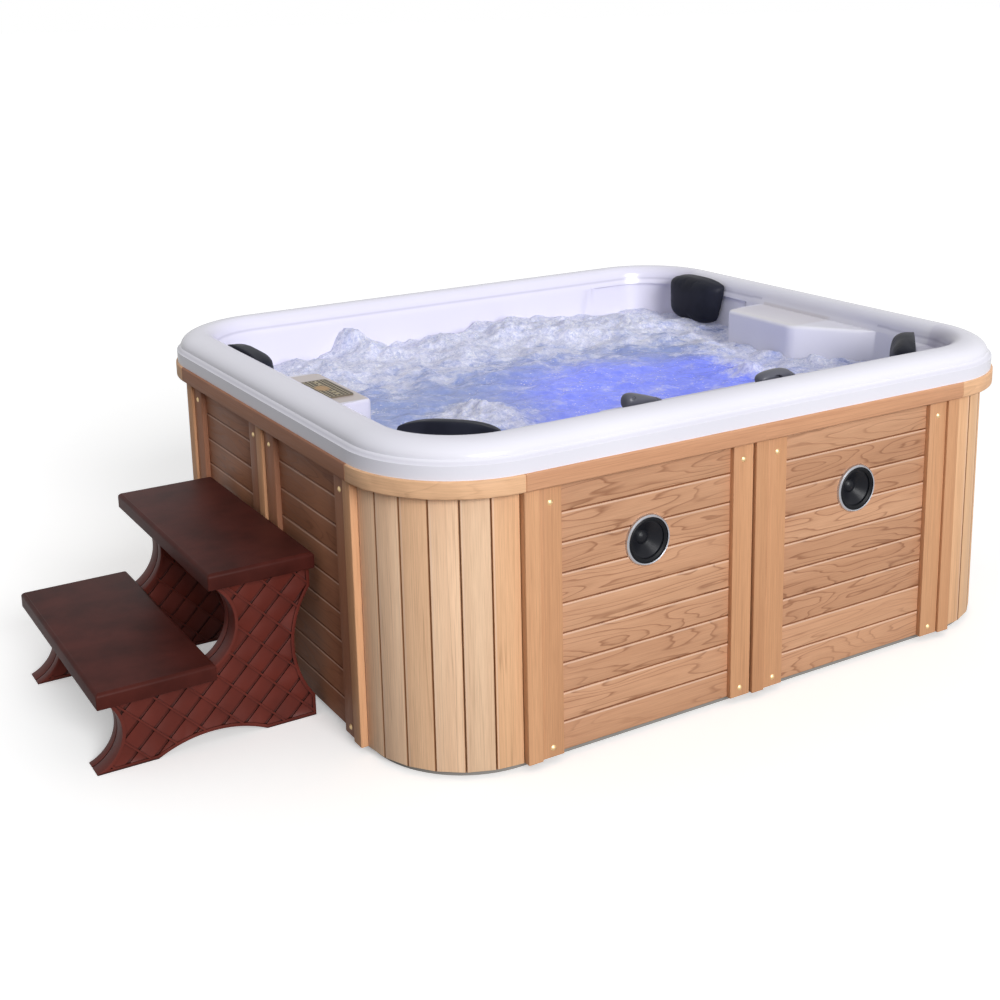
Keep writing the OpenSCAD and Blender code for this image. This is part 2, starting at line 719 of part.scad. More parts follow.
// Pillows: a crowned pad on the wall, with drawn-in sides. u and v run from -1 to 1.
pillow_mid = crest_height - pillow_drop;
pillow_cols = 20;
pillow_rows = 12;
function grid(i, n) = let (a = 2 * i / n - 1) sin(90 * a);
function pad_length(u, v) = u * pillow_length / 2 * (1 - 0.07 * pow(v, 6) - 0.09 * (1 - v));
function pad_height(u, v) = v * pillow_height / 2 * (1 - 0.2 * pow(abs(u), 3));
function pad_crown(u, v) = 5 + (pillow_thickness - 5) * pow(max(0, 1 - pow(abs(u), 5)), 0.45)
    * pow(max(0, 1 - pow(abs(v), v > 0 ? 8 : 4)), 0.5);
function pad_depth(u, v, face) = face == 1 ? pad_crown(u, v) : 0;
// The back lies on the basin wall, round the back corner too, or on the upright rest in a front corner
function into_corner(x, from_corner) = max(0, x - from_corner);
function pad_back(x, z, rest, from_corner) =
    rest ? corner_rest_at : sqrt(pow(wall_d(z), 2) - pow(into_corner(x, from_corner), 2));
function pad_point(u, v, face, rest, from_corner) =
    let (x = pad_length(u, v), z = pillow_mid + pad_height(u, v))
    [x, pad_depth(u, v, face) + seat_gap - pad_back(x, z, rest, from_corner), z];
function pad_points(rest, from_corner) = [for (face = [0, 1], j = [0:pillow_rows], i = [0:pillow_cols])
    pad_point(grid(i, pillow_cols), grid(j, pillow_rows), face, rest, from_corner)];
function pad_index(face, j, i) = (face * (pillow_rows + 1) + j) * (pillow_cols + 1) + i;
function pad_quad(a, b, c, d) = [[a, b, c], [a, c, d]];
function pad_faces() = [
    for (j = [0:pillow_rows - 1], i = [0:pillow_cols - 1], face = [0, 1],
        f = face == 1
            ? pad_quad(pad_index(1, j, i), pad_index(1, j + 1, i), pad_index(1, j + 1, i + 1), pad_index(1, j, i + 1))
            : pad_quad(pad_index(0, j, i), pad_index(0, j, i + 1), pad_index(0, j + 1, i + 1), pad_index(0, j + 1, i))) f,
    for (i = [0:pillow_cols - 1], e = [0, 1],
        f = e == 0
            ? pad_quad(pad_index(0, 0, i), pad_index(1, 0, i), pad_index(1, 0, i + 1), pad_index(0, 0, i + 1))
            : pad_quad(pad_index(0, pillow_rows, i), pad_index(0, pillow_rows, i + 1),
                pad_index(1, pillow_rows, i + 1), pad_index(1, pillow_rows, i))) f,
    for (j = [0:pillow_rows - 1], e = [0, 1],
        f = e == 0
            ? pad_quad(pad_index(0, j, 0), pad_index(0, j + 1, 0), pad_index(1, j + 1, 0), pad_index(1, j, 0))
            : pad_quad(pad_index(0, j, pillow_cols), pad_index(1, j, pillow_cols),
                pad_index(1, j + 1, pillow_cols), pad_index(0, j + 1, pillow_cols))) f];
module pad(rest, from_corner = 0) polyhedron(pad_points(rest, from_corner), pad_faces(), convexity = 4);

module pillow_back_left() color("black") on_side(3) translate([-left_pillow_at, 0, 0])
    pad(false, left_pillow_from_corner);
module pillow_back_right() color("black") on_side(1) translate([right_pillow_at, 0, 0])
    pad(false, right_pillow_from_corner);
module pillow_front_left() color("black") translate([-cx, -cy, 0]) rotate([0, 0, -45]) pad(true);
module pillow_front_right() color("black") translate([cx, -cy, 0]) rotate([0, 0, 45]) pad(true);

// Speakers in the front panels: Z points out of the panel
basket_radius = speaker_radius - 9;
cone_radius = basket_radius - 11;
module speaker_at_place(s) translate([s * speaker_at, -cy - d_board, speaker_height]) rotate([90, 0, 0]) children();

module speaker_bezels() color("silver") for (s = [-1, 1]) speaker_at_place(s)
    rotate_extrude() polygon([[basket_radius + 1, 0], [speaker_radius, 0], [speaker_radius - 2, 6],
        [speaker_radius - 5, 9], [basket_radius + 1, 8]]);

module speaker_baskets() color("black") for (s = [-1, 1]) speaker_at_place(s)
    rotate_extrude() polygon([[0, -68], [36, -68], [36, -50], [basket_radius - 6, -46], [basket_radius + 0.7, -20],
        [basket_radius + 0.7, 5], [basket_radius - 5, 8], [cone_radius + seat_gap, 4], [cone_radius + seat_gap, -6],
        [cone_radius + 3, -10], [cone_radius + 1, -36], [16, -40], [16, -44], [0, -44]]);

module speaker_cone(s) color("dimgray") speaker_at_place(s)
    rotate_extrude() polygon(concat([[0, -38], [14, -38], [14, -30], [22, -28], [cone_radius, -5], [cone_radius, 0],
        [cone_radius - 3, 0], [20, -22]], arc(0, -42, 28, 45, 90, 5)));

// Equipment under the left seats
suction_z = skirt_bottom + 110;
pump_at = [-760, -560, suction_z];
module pump_place() translate(pump_at) rotate([-90, 0, 0]) children();
wet_radius = motor_radius + 14;
wet_length = 84;

module pump_motor() color("darkslategray") difference() {
    union() {
        pump_place() {
            cylinder(r = motor_radius, h = motor_length);
            translate([0, 0, -14]) cylinder(r = motor_radius - 10, h = 14);
            translate([0, 0, 30]) for (a = [0:15:345]) rotate([0, 0, a])
                translate([motor_radius - 1, -1.5, 0]) cube([7, 3, motor_length - 60]);
        }
        translate([pump_at[0] - 60, pump_at[1] + 40, skirt_bottom]) cube([120, motor_length - 80, 60]);
        translate([pump_at[0] - 85, pump_at[1] + 40, skirt_bottom]) cube([170, motor_length - 80, 10]);
        translate([pump_at[0] - 40, pump_at[1] + 60, pump_at[2] + motor_radius - 8]) cube([80, 110, 36]);
    }
    pump_place() translate([0, 0, 20]) cylinder(r = shaft_radius + slide_fit, h = motor_length);
}

module pump_wet_end() color("black") pump_place() translate([0, 0, motor_length]) difference() {
    union() {
        cylinder(r = wet_radius, h = wet_length);
        translate([0, 0, wet_length]) cylinder(r = pipe_radius + 8, h = 30);
        translate([wet_radius - pipe_radius - 10, 0, wet_length / 2]) rotate([90, 0, 0])
            cylinder(r = pipe_radius + 6, h = wet_radius + 20);
    }
    translate([0, 0, -eps]) cylinder(r = shaft_radius + slide_fit, h = 40);
    translate([0, 0, 16]) cylinder(r = wet_radius - 10, h = wet_length - 32);
    translate([0, 0, wet_length - 20]) cylinder(r = pipe_radius, h = 60);
    translate([wet_radius - pipe_radius - 10, 0, wet_length / 2]) rotate([90, 0, 0])
        cylinder(r = pipe_radius - 6, h = wet_radius + 30);
}

module pump_rotor() color("silver") pump_place() {
    translate([0, 0, 60]) cylinder(r = shaft_radius, h = motor_length - 60 + 50);
    translate([0, 0, motor_length + 22]) difference() {
        cylinder(r = wet_radius - 20, h = 26);
        for (a = [0:60:300]) rotate([0, 0, a]) translate([shaft_radius + 16, -5, 8])
            cube([wet_radius, 10, 30]);
    }
}

// The suction pipe joins the pump to the front suction fitting, the pressure pipe rises to the heater
suction_x = -footwell_length / 2 - shell_thickness - 20;
module suction_pipe() color("gainsboro") {
    y0 = pump_at[1] + motor_length + wet_length + 30;
    y1 = suction_spots[0];
    translate([pump_at[0], y0, suction_z]) rotate([-90, 0, 0]) cylinder(r = pipe_radius, h = y1 - suction_bend - y0);
    translate([pump_at[0] + suction_bend, y1 - suction_bend, suction_z]) rotate([0, 0, 90]) rotate_extrude(angle = 90)
        translate([suction_bend, 0]) circle(pipe_radius);
    translate([pump_at[0] + suction_bend, y1, suction_z]) rotate([0, 90, 0])
        cylinder(r = pipe_radius, h = suction_x - pump_at[0] - suction_bend);
}
heater_z = skirt_bottom + 262;
heater_x = pump_at[0] + wet_radius - pipe_radius - 10;
pump_out_y = pump_at[1] + motor_length + wet_length / 2;
pressure_run = 70;
module pressure_pipe() color("gainsboro") {
    z0 = pump_at[2] + wet_radius + 20;
    translate([heater_x, pump_out_y, z0]) cylinder(r = pipe_radius, h = heater_z - pressure_bend - z0);
    translate([heater_x, pump_out_y + pressure_bend, heater_z - pressure_bend]) rotate([90, 0, -90])
        rotate_extrude(angle = 90) translate([pressure_bend, 0]) circle(pipe_radius);
    translate([heater_x, pump_out_y + pressure_bend, heater_z]) rotate([-90, 0, 0]) cylinder(r = pipe_radius, h = pressure_run);
}

heater_y = pump_out_y + pressure_bend + pressure_run;
module heater_tube() color("silver") translate([heater_x, heater_y, heater_z]) rotate([-90, 0, 0]) difference() {
    union() {
        cylinder(r = pipe_radius + 5, h = 380);
        for (z = [0, 364]) translate([0, 0, z]) cylinder(r = pipe_radius + 14, h = 16);
        // Saddle down to the pan
        translate([-12, 0, 300]) cube([24, heater_z - skirt_bottom, 30]);
    }
    translate([0, 0, -eps]) cylinder(r = pipe_radius - 4, h = 390);
}

box_size = [120, 300, 250];
module control_box() color("gray") {
    x0 = -cx - d_frame + seat_gap;
    translate([x0, 60, skirt_bottom]) {
        cube([box_size[0] - 12, box_size[1], box_size[2]]);
        translate([box_size[0] - 12, 6, 6]) cube([12, box_size[1] - 12, box_size[2] - 12]);
        for (y = [50:50:250]) translate([box_size[0] / 2, y, box_size[2]]) cylinder(r = 9, h = 8);
    }
}

// Steps. Distances run outward from the cabinet side of the steps.
steps_x = -cx - d_strip - steps_gap;
tread_plate = 10;
side_outer = tread_length / 2 - tread_overhang;
upper_shelf = upper_tread_top - tread_thickness;
lower_shelf = lower_tread_top - tread_thickness;
lower_tread_from = upper_tread_depth - 8;
lower_tread_to = lower_tread_from + lower_tread_depth;
neck_from = lower_tread_from + tread_plate + seat_gap;
riser_face = upper_tread_depth - 14;
foot_radius = 113;
riser_radius = (upper_shelf - lower_tread_top) / 2 + 28;
back_radius = 270;
arch_radius = 339;

// Outline of a side panel, shrunk by g: two blocks with a round bite out of each edge
module side_plan(g, necks) difference() {
    union() {
        translate([g, g]) square([lower_tread_to + 2 - 2 * g, lower_shelf - 2 * g]);
        translate([g, g]) square([riser_face - 2 * g, upper_shelf - 2 * g]);
        if (necks) {
            translate([14, lower_shelf - eps]) square([riser_face - 20, upper_tread_top - tread_plate - lower_shelf + eps]);
            translate([neck_from, lower_shelf - eps])
                square([lower_tread_to - 42 - neck_from, tread_thickness - tread_plate + eps]);
        }
    }
    translate([lower_tread_to + 41, 108]) circle(foot_radius + g);
    translate([riser_face + 62, (upper_shelf + lower_tread_top) / 2 - 16]) circle(riser_radius + g);
    translate([-216, 225]) circle(back_radius + g);
    translate([300, -302]) circle(arch_radius + g);
}

module slanted(pitch, width, slope) {
    reach = 1400;
    rotate([0, 0, slope]) for (i = [-reach / pitch / 2:1:reach / pitch / 2])
        translate([-reach, round(i) * pitch - width / 2]) square([2 * reach, width]);
}

// Panel face pattern: flush border, tiles set back, wide grooves one way and thin ribs the other
module face_cut() {
    tile = 4;
    groove = 9;
    linear_extrude(2 * tile, center = true) difference() {
        side_plan(9, false);
        translate([4, 13]) slanted(rib_pitch, 5, 45);
    }
    linear_extrude(2 * groove, center = true) difference() {
        intersection() {
            side_plan(9, false);
            translate([11, 0]) slanted(groove_pitch, 9, -45);
        }
        translate([4, 13]) slanted(rib_pitch, 5, 45);
    }
}

module steps_place() translate([steps_x, steps_shift, 0]) mirror([1, 0, 0]) children();
module step_side() color("saddlebrown") rotate([90, 0, 0])
    translate([0, 0, side_outer - side_thickness]) difference() {
        linear_extrude(side_thickness) side_plan(0, true);
        face_cut();
        translate([0, 0, side_thickness]) face_cut();
        // A shallow channel along the edges parts the two skins of the moulding
        translate([0, 0, side_thickness * 0.34]) linear_extrude(side_thickness * 0.06) difference() {
            side_plan(-20, false);
            side_plan(5, false);
        }
    }

module step_side_near() steps_place() step_side();
module step_side_far() steps_place() mirror([0, 1, 0]) step_side();

// A tread is a hollow moulding, open underneath, with rounded edges all round its top
module tread(depth, top) {
    r = 12;
    difference() {
        intersection() {
            translate([0, tread_length / 2, top - tread_thickness]) rotate([90, 0, 0])
                linear_extrude(tread_length) edge_rounded(depth, tread_thickness, r);
            translate([0, -tread_length / 2, top - tread_thickness]) rotate([90, 0, 90])
                linear_extrude(depth) edge_rounded(tread_length, tread_thickness, r);
        }
        translate([tread_plate, tread_plate - tread_length / 2, top - tread_thickness - eps])
            cube([depth - 2 * tread_plate, tread_length - 2 * tread_plate, tread_thickness - tread_plate + eps]);
    }
}

module edge_rounded(w, h, r) {
    square([w, h - r]);
    translate([r, 0]) square([w - 2 * r, h]);
    for (x = [r, w - r]) translate([x, h - r]) circle(r);
}

module step_upper_tread() color("brown") steps_place() tread(upper_tread_depth, upper_tread_top);
module step_lower_tread() color("brown") steps_place()
    translate([lower_tread_from, 0, 0]) tread(lower_tread_depth, lower_tread_top);

base_pan();
frame_bottom_rail();
frame_posts();
frame_top_rail();
tub_shell();
trim_rails();
trim_corners();
boards(0);  // boards_front
boards(1);  // boards_right
boards(2);  // boards_back
boards(3);  // boards_left
stiles(0);  // stiles_front
stiles(1);  // stiles_right
stiles(2);  // stiles_back
stiles(3);  // stiles_left
cover_strips();
corner_slats();
screw_caps();
speaker_bezels();
speaker_baskets();
speaker_cone(-1);  // speaker_cone_left
speaker_cone(1);  // speaker_cone_right
pillow_back_left();
pillow_front_left();
pillow_back_right();
pillow_front_right();
valve_handle(-1, diverter_rest);  // diverter_handle
valve_handle(1, 0);  // air_handle
valve_bodies();
control_panel();
control_overlay();
key(0);  // key_jets
key(1);  // key_light
key(2);  // key_warmer
key(3);  // key_cooler
jet_face(0);  // jet_face_left
jet_face(1);  // jet_face_front_left
jet_face(2);  // jet_face_front_right
jet_face(3);  // jet_face_right
jet_bodies();
small_jets();
suction_covers();
light_lens();
drain_valve();
drain_ring();
power_gland();
pump_motor();
pump_wet_end();
pump_rotor();
heater_tube();
control_box();
filter_canister();
filter_cartridge();
filter_grille();
suction_pipe();
pressure_pipe();
step_side_near();
step_side_far();
step_lower_tread();
step_upper_tread();
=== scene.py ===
"""A wood-clad hot tub with a moulded acrylic shell, foaming lit water and a two-step stool."""
import math

import bmesh
import bpy
from mathutils import Matrix, Vector, noise


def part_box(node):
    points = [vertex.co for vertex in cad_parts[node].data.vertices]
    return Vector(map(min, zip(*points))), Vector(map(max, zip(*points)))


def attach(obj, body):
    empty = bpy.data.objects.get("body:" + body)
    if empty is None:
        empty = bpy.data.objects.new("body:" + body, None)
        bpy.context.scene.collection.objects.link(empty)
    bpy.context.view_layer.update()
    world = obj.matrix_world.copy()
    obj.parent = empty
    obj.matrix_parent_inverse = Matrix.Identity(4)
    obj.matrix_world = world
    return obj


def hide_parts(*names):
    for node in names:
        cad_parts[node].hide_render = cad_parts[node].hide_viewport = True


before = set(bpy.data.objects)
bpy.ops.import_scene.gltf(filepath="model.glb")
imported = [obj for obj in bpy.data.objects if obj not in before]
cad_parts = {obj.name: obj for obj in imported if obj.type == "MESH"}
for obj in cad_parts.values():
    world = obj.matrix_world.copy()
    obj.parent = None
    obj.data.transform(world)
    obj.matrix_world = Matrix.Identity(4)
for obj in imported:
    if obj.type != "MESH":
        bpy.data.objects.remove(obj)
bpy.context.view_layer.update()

bl_info = {
    "name": "Hot tub",
    "version": (1, 0, 0),
    "blender": (4, 5, 0),
    "location": "View3D > Sidebar > Hot tub",
    "description": "Dresses the packed hot tub: cladding, shell, water, pillows, controls and stool",
    "category": "Add Mesh",
}


def metres(name, description, default):
    return bpy.props.FloatProperty(name=name, description=description, default=default, unit="LENGTH")


def hue(name, description, default):
    return bpy.props.StringProperty(name=name, description=description, default=default)


class TubSizes(bpy.types.PropertyGroup):
    length: metres("Length", "Length over the wooden trim", 2.200)
    width: metres("Width", "Width over the wooden trim", 1.910)
    height: metres("Height", "Height of the rim", 0.900)
    corner: metres("Corner", "Plan radius of the trim corners", 0.335)
    water_level: metres("Water level", "Height of the calm water", 0.738)


class TubColours(bpy.types.PropertyGroup):
    cedar_board: hue("Boards", "Pale wood of the boards", "#D2A382")
    cedar_line: hue("Late wood", "Lines of the grain", "#7F4C30")
    cedar_stile: hue("Stiles", "Pale wood of the uprights", "#D9A67E")
    cedar_slat: hue("Slats", "Pale wood of the corner slats", "#F6D1AC")
    # Painted shade: the board wood darkened and reddened for the sides, which get little of the key light
    cedar_side_shaded: hue("Side boards", "Redder wood of the sides", "#AE7A5E")
    # Painted light: the corner trim's wood is made paler, as if lit as brightly as the front
    cedar_bent_lit: hue("Bent trim", "Steamed wood of the corners", "#F3C69E")
    cedar_trim: hue("Trim", "Pale wood of the trim", "#DCA783")
    acrylic: hue("Acrylic", "Shell colour", "#ECEBF6")
    water_glow: hue("Lit water", "Where the lamp shines", "#8B98FF")
    water_deep: hue("Water", "Away from the lamp", "#9CABDD")
    water_froth: hue("Froth", "Thick foam", "#D3D3E4")
    pillow: hue("Pillow", "Pillow skin", "#1E1F29")
    stool: hue("Stool", "Stool plastic", "#471F1A")
    lattice: hue("Lattice", "Plastic of the stool's sides", "#602820")


def size(name):
    return getattr(bpy.context.scene.tub_sizes, name)


def colour(name):
    return srgb(getattr(bpy.context.scene.tub_colours, name))


def srgb(code):
    """An sRGB hex value as linear RGBA."""
    channels = [int(code[i:i + 2], 16) / 255 for i in (1, 3, 5)]
    linear = [c / 12.92 if c <= 0.04045 else ((c + 0.055) / 1.055) ** 2.4 for c in channels]
    return (*linear, 1.0)


def smoothstep(low, high, x):
    t = min(1.0, max(0.0, (x - low) / (high - low)))
    return t * t * (3 - 2 * t)


def box_of(name):
    low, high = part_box(name)
    return Vector(low), Vector(high)


def corner_centres():
    """Half the distances between the centres of the round corners, along X and along Y."""
    return size("length") / 2 - size("corner"), size("width") / 2 - size("corner")


# Making and finishing pieces

def deselect():
    if bpy.context.object and bpy.context.object.mode != "OBJECT":
        bpy.ops.object.mode_set(mode="OBJECT")
    bpy.ops.object.select_all(action="DESELECT")


def activate(obj):
    deselect()
    obj.select_set(True)
    bpy.context.view_layer.objects.active = obj


def apply_modifier(obj, kind, **settings):
    activate(obj)
    modifier = obj.modifiers.new(kind.title(), kind)
    for key, value in settings.items():
        setattr(modifier, key, value)
    bpy.ops.object.modifier_apply(modifier=modifier.name)


def shade(obj, angle):
    activate(obj)
    bpy.ops.object.shade_smooth_by_angle(angle=math.radians(angle))


def settle(obj):
    """Leaves the piece at the origin with its place in its mesh."""
    activate(obj)
    bpy.ops.object.transform_apply(location=True, rotation=True, scale=True)


def finish_piece(obj, name, material, body="tub", replaced=()):
    obj.name = name
    obj.data.name = name
    obj.data.materials.clear()
    obj.data.materials.append(material)
    settle(obj)
    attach(obj, body)
    if replaced:
        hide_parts(*replaced)
    return obj


def new_piece(name, mesh):
    obj = bpy.data.objects.new(name, mesh)
    bpy.context.scene.collection.objects.link(obj)
    return obj


def copied(node, name):
    """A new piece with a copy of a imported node's mesh."""
    return new_piece(name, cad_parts[node].data.copy())


def weld(obj, distance):
    """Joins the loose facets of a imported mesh."""
    activate(obj)
    bpy.ops.object.mode_set(mode="EDIT")
    bpy.ops.mesh.select_all(action="SELECT")
    bpy.ops.mesh.remove_doubles(threshold=distance)
    bpy.ops.object.mode_set(mode="OBJECT")


def mark(obj, name, values):
    """Stores a number for each point, which the piece's material reads."""
    obj.data.attributes.new(name, "FLOAT", "POINT").data.foreach_set("value", values)


def softened(node, name, material, body="tub", edge=0.0015, segments=2, keep=None):
    """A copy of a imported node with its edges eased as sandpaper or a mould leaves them.

    keep(point) says which of its faces belong to this piece.
    """
    obj = copied(node, name)
    if keep:
        mesh = bmesh.new()
        mesh.from_mesh(obj.data)
        strange = [face for face in mesh.faces if not keep(face.calc_center_median())]
        bmesh.ops.delete(mesh, geom=strange, context="FACES")
        mesh.to_mesh(obj.data)
        mesh.free()
    weld(obj, 0.00001)
    bpy.ops.object.mode_set(mode="EDIT")
    bpy.ops.mesh.select_all(action="SELECT")
    bpy.ops.mesh.dissolve_limited(angle_limit=math.radians(0.5))
    bpy.ops.object.mode_set(mode="OBJECT")
    apply_modifier(obj, "BEVEL", width=edge, segments=segments, limit_method="ANGLE",
                   angle_limit=math.radians(30), harden_normals=False, use_clamp_overlap=True)
    apply_modifier(obj, "TRIANGULATE")
    shade(obj, 40)
    return finish_piece(obj, name, material, body, [node])


# Materials

def feed(tree, node, inputs):
    """Gives a node's inputs their constants, or links other nodes' outputs to them."""
    for key, value in inputs.items():
        if isinstance(value, bpy.types.NodeSocket):
            tree.links.new(value, node.inputs[key])
        else:
            node.inputs[key].default_value = value


def add_node(tree, kind, inputs=None, **settings):
    """Adds one node, sets its properties and feeds its inputs."""
    made = tree.nodes.new(kind)
    for key, value in settings.items():
        setattr(made, key, value)
    feed(tree, made, inputs or {})
    return made


def new_material(name, **shader):
    """A material with one Principled shader and its constant values on the shader's own sockets."""
    material = bpy.data.materials.new(name)
    material.use_nodes = True
    tree = material.node_tree
    principled = tree.nodes["Principled BSDF"]
    feed(tree, principled, {key.replace("_", " "): value for key, value in shader.items()})
    material.diffuse_color = principled.inputs["Base Color"].default_value
    return material, tree, principled, add_node(tree, "ShaderNodeTexCoord").outputs["Object"]


def grey(value):
    return (value, value, value, 1.0)


def warm(value):
    """A shade for wood: what is left of red, green and blue where light has bounced off cedar."""
    return (value, value ** 1.4, value ** 1.8, 1.0)


def ramp(tree, factor, *stops):
    """A colour ramp. The value of a stop is a colour, or a number for a grey."""
    made = add_node(tree, "ShaderNodeValToRGB", {"Fac": factor})
    elements = made.color_ramp.elements
    elements.remove(elements[1])
    stops = [(place, value if isinstance(value, tuple) else grey(value)) for place, value in stops]
    elements[0].position, elements[0].color = stops[0]
    for place, value in stops[1:]:
        elements.new(place).color = value
    return made.outputs["Color"]


def maths(tree, operation, value, *others):
    """One maths node for each further operand in turn, or one for an operation with a single operand."""
    for other in others or (0.0,):
        value = add_node(tree, "ShaderNodeMath", {0: value, 1: other}, operation=operation).outputs[0]
    return value


def mix_colours(tree, factor, a, b, blend="MIX"):
    return add_node(tree, "ShaderNodeMix", {0: factor, 6: a, 7: b}, data_type="RGBA", blend_type=blend,
                    clamp_factor=True).outputs[2]


def bump(tree, principled, height, strength, distance):
    made = add_node(tree, "ShaderNodeBump", {"Strength": strength, "Distance": distance, "Height": height})
    feed(tree, principled, {"Normal": made.outputs["Normal"]})


def clouds(tree, vector, scale, detail, roughness=0.5, distortion=0.0):
    """The value of a noise texture with this many waves to a metre."""
    return add_node(tree, "ShaderNodeTexNoise", {
        "Vector": vector, "Scale": scale, "Detail": detail, "Roughness": roughness,
        "Distortion": distortion}).outputs["Fac"]


def stretched(tree, vector, scale):
    return add_node(tree, "ShaderNodeMapping", {"Vector": vector, "Scale": scale}).outputs[0]


def axes(tree, vector):
    return add_node(tree, "ShaderNodeSeparateXYZ", {0: vector}).outputs


def marked(tree, name):
    return add_node(tree, "ShaderNodeAttribute", attribute_name=name).outputs["Fac"]


# Where a point lies among the boards and slats

# Height of a board and of the skirt below the lowest, and widths that tell stiles, strips and posts apart
BOARD_PITCH = 0.08278
SKIRT = 0.018
SLATS_PER_CORNER = 6
STILE_STEP = 0.125
STRIP_STEP = 0.22
POST_STEP = 0.2


def from_corner(tree, coordinates):
    """X and Y measured outward from the nearest corner's centre, and Z."""
    places = axes(tree, coordinates)
    x, y = (maths(tree, "SUBTRACT", maths(tree, "ABSOLUTE", places[i]), half)
            for i, half in enumerate(corner_centres()))
    return x, y, places[2]


def unrolled(tree, coordinates):
    """Coordinates along a round corner, outward from its centre, and up."""
    x, y, z = from_corner(tree, coordinates)
    arc = maths(tree, "MULTIPLY", maths(tree, "ARCTAN2", y, x), size("corner"))
    squares = (maths(tree, "MULTIPLY", side, side) for side in (x, y))
    radius = maths(tree, "SQRT", maths(tree, "ADD", *squares))
    return add_node(tree, "ShaderNodeCombineXYZ", {0: arc, 1: radius, 2: z}).outputs[0]


def board_place(tree, coordinates):
    """Height above the skirt, counted in boards."""
    return maths(tree, "DIVIDE", maths(tree, "SUBTRACT", axes(tree, coordinates)[2], SKIRT), BOARD_PITCH)


def slat_place(tree, coordinates):
    """Turn about the nearest corner's centre, counted in slats."""
    x, y = from_corner(tree, coordinates)[:2]
    return maths(tree, "DIVIDE", maths(tree, "ARCTAN2", y, x), math.pi / 2 / SLATS_PER_CORNER)


def quarter(tree, coordinates, *weights):
    """A number for the quarter of the plan that a point lies in."""
    places = axes(tree, coordinates)
    return maths(tree, "ADD", *(maths(tree, "MULTIPLY", maths(tree, "SIGN", places[i]), weight)
                                for i, weight in enumerate(weights)))


def board_number(tree, coordinates):
    """Boards stacked in height, other ones either side of the middle and on each side of the tub."""
    level = maths(tree, "FLOOR", board_place(tree, coordinates))
    return maths(tree, "ADD", level, quarter(tree, coordinates, 21.0, 47.0))


def slat_number(tree, coordinates):
    """Slats round each corner, told apart by their angle about the corner's centre."""
    slat = maths(tree, "MULTIPLY", maths(tree, "FLOOR", slat_place(tree, coordinates)), 1.37)
    return maths(tree, "ADD", slat, quarter(tree, coordinates, 13.0, 29.0))


def corner_number(tree, coordinates):
    """The four corners, told apart by their quarter of the plan."""
    return quarter(tree, coordinates, 5.3, 2.9)


def upright_number(step):
    """Uprights told apart by whole steps outward along X and Y."""
    def number(tree, coordinates):
        places = axes(tree, coordinates)
        shares = []
        for axis, weight in ((0, 7.13), (1, 3.71)):
            outward = maths(tree, "DIVIDE", maths(tree, "ABSOLUTE", places[axis]), step)
            steps = maths(tree, "MULTIPLY", maths(tree, "FLOOR", outward), weight)
            shares.append(maths(tree, "MULTIPLY", steps, maths(tree, "SIGN", places[axis])))
        return maths(tree, "ADD", *shares)
    return number


# How the rings run over a face: waves to a metre along and across it, and how many lines the full
# swing gives. FLAMED draws lines about 10 mm apart in eyes and arches 200 to 400 mm long, STRAIGHT
# nearly parallel ones
FLAMED = (1.9, 14.0, 12.5)
STRAIGHT = (0.35, 34.0, 12.0)
GRAIN_TURN = {"x": (0, 0, 0), "y": (0, 0, -math.pi / 2), "z": (0, math.pi / 2, 0), "arc": (0, 0, 0)}
# Each board starts elsewhere in its trunk: up to 3 m along it, and its face up to 120 mm from the pith
TRUNK_REACH = (3.0, 0.12, 0.10)
# A piece's painted shading: where a point lies among the pieces, the painted shade across one, dark in the
# groove, and how far a painted highlight runs where its planed edge catches the light
BOARD_SHADING = (
    board_place,
    ((0.0, 0.45), (0.012, 0.62), (0.030, 0.93), (0.05, 1.0), (0.968, 1.0), (0.980, 0.42), (1.0, 0.38)),
    ((0.900, 0.0), (0.912, 0.42), (0.955, 0.58), (0.968, 0.0)))
SLAT_SHADING = (
    slat_place,
    ((0.0, 0.30), (0.028, 0.36), (0.045, 1.0), (0.955, 1.0), (0.972, 0.36), (1.0, 0.30)),
    ((0.045, 0.0), (0.055, 0.5), (0.090, 0.4), (0.110, 0.0)))
# Slats are sorted from mixed stock: orange tan, grey beige, cream and brown
SLAT_TONES = ((0.0, (0.99, 0.84, 0.70, 1)), (0.30, (0.97, 0.86, 0.74, 1)), (0.45, 0.84),
              (0.60, (1.02, 1.04, 1.12, 1)), (0.80, (1.04, 1.04, 1.08, 1)), (1.0, (0.88, 0.76, 0.66, 1)))


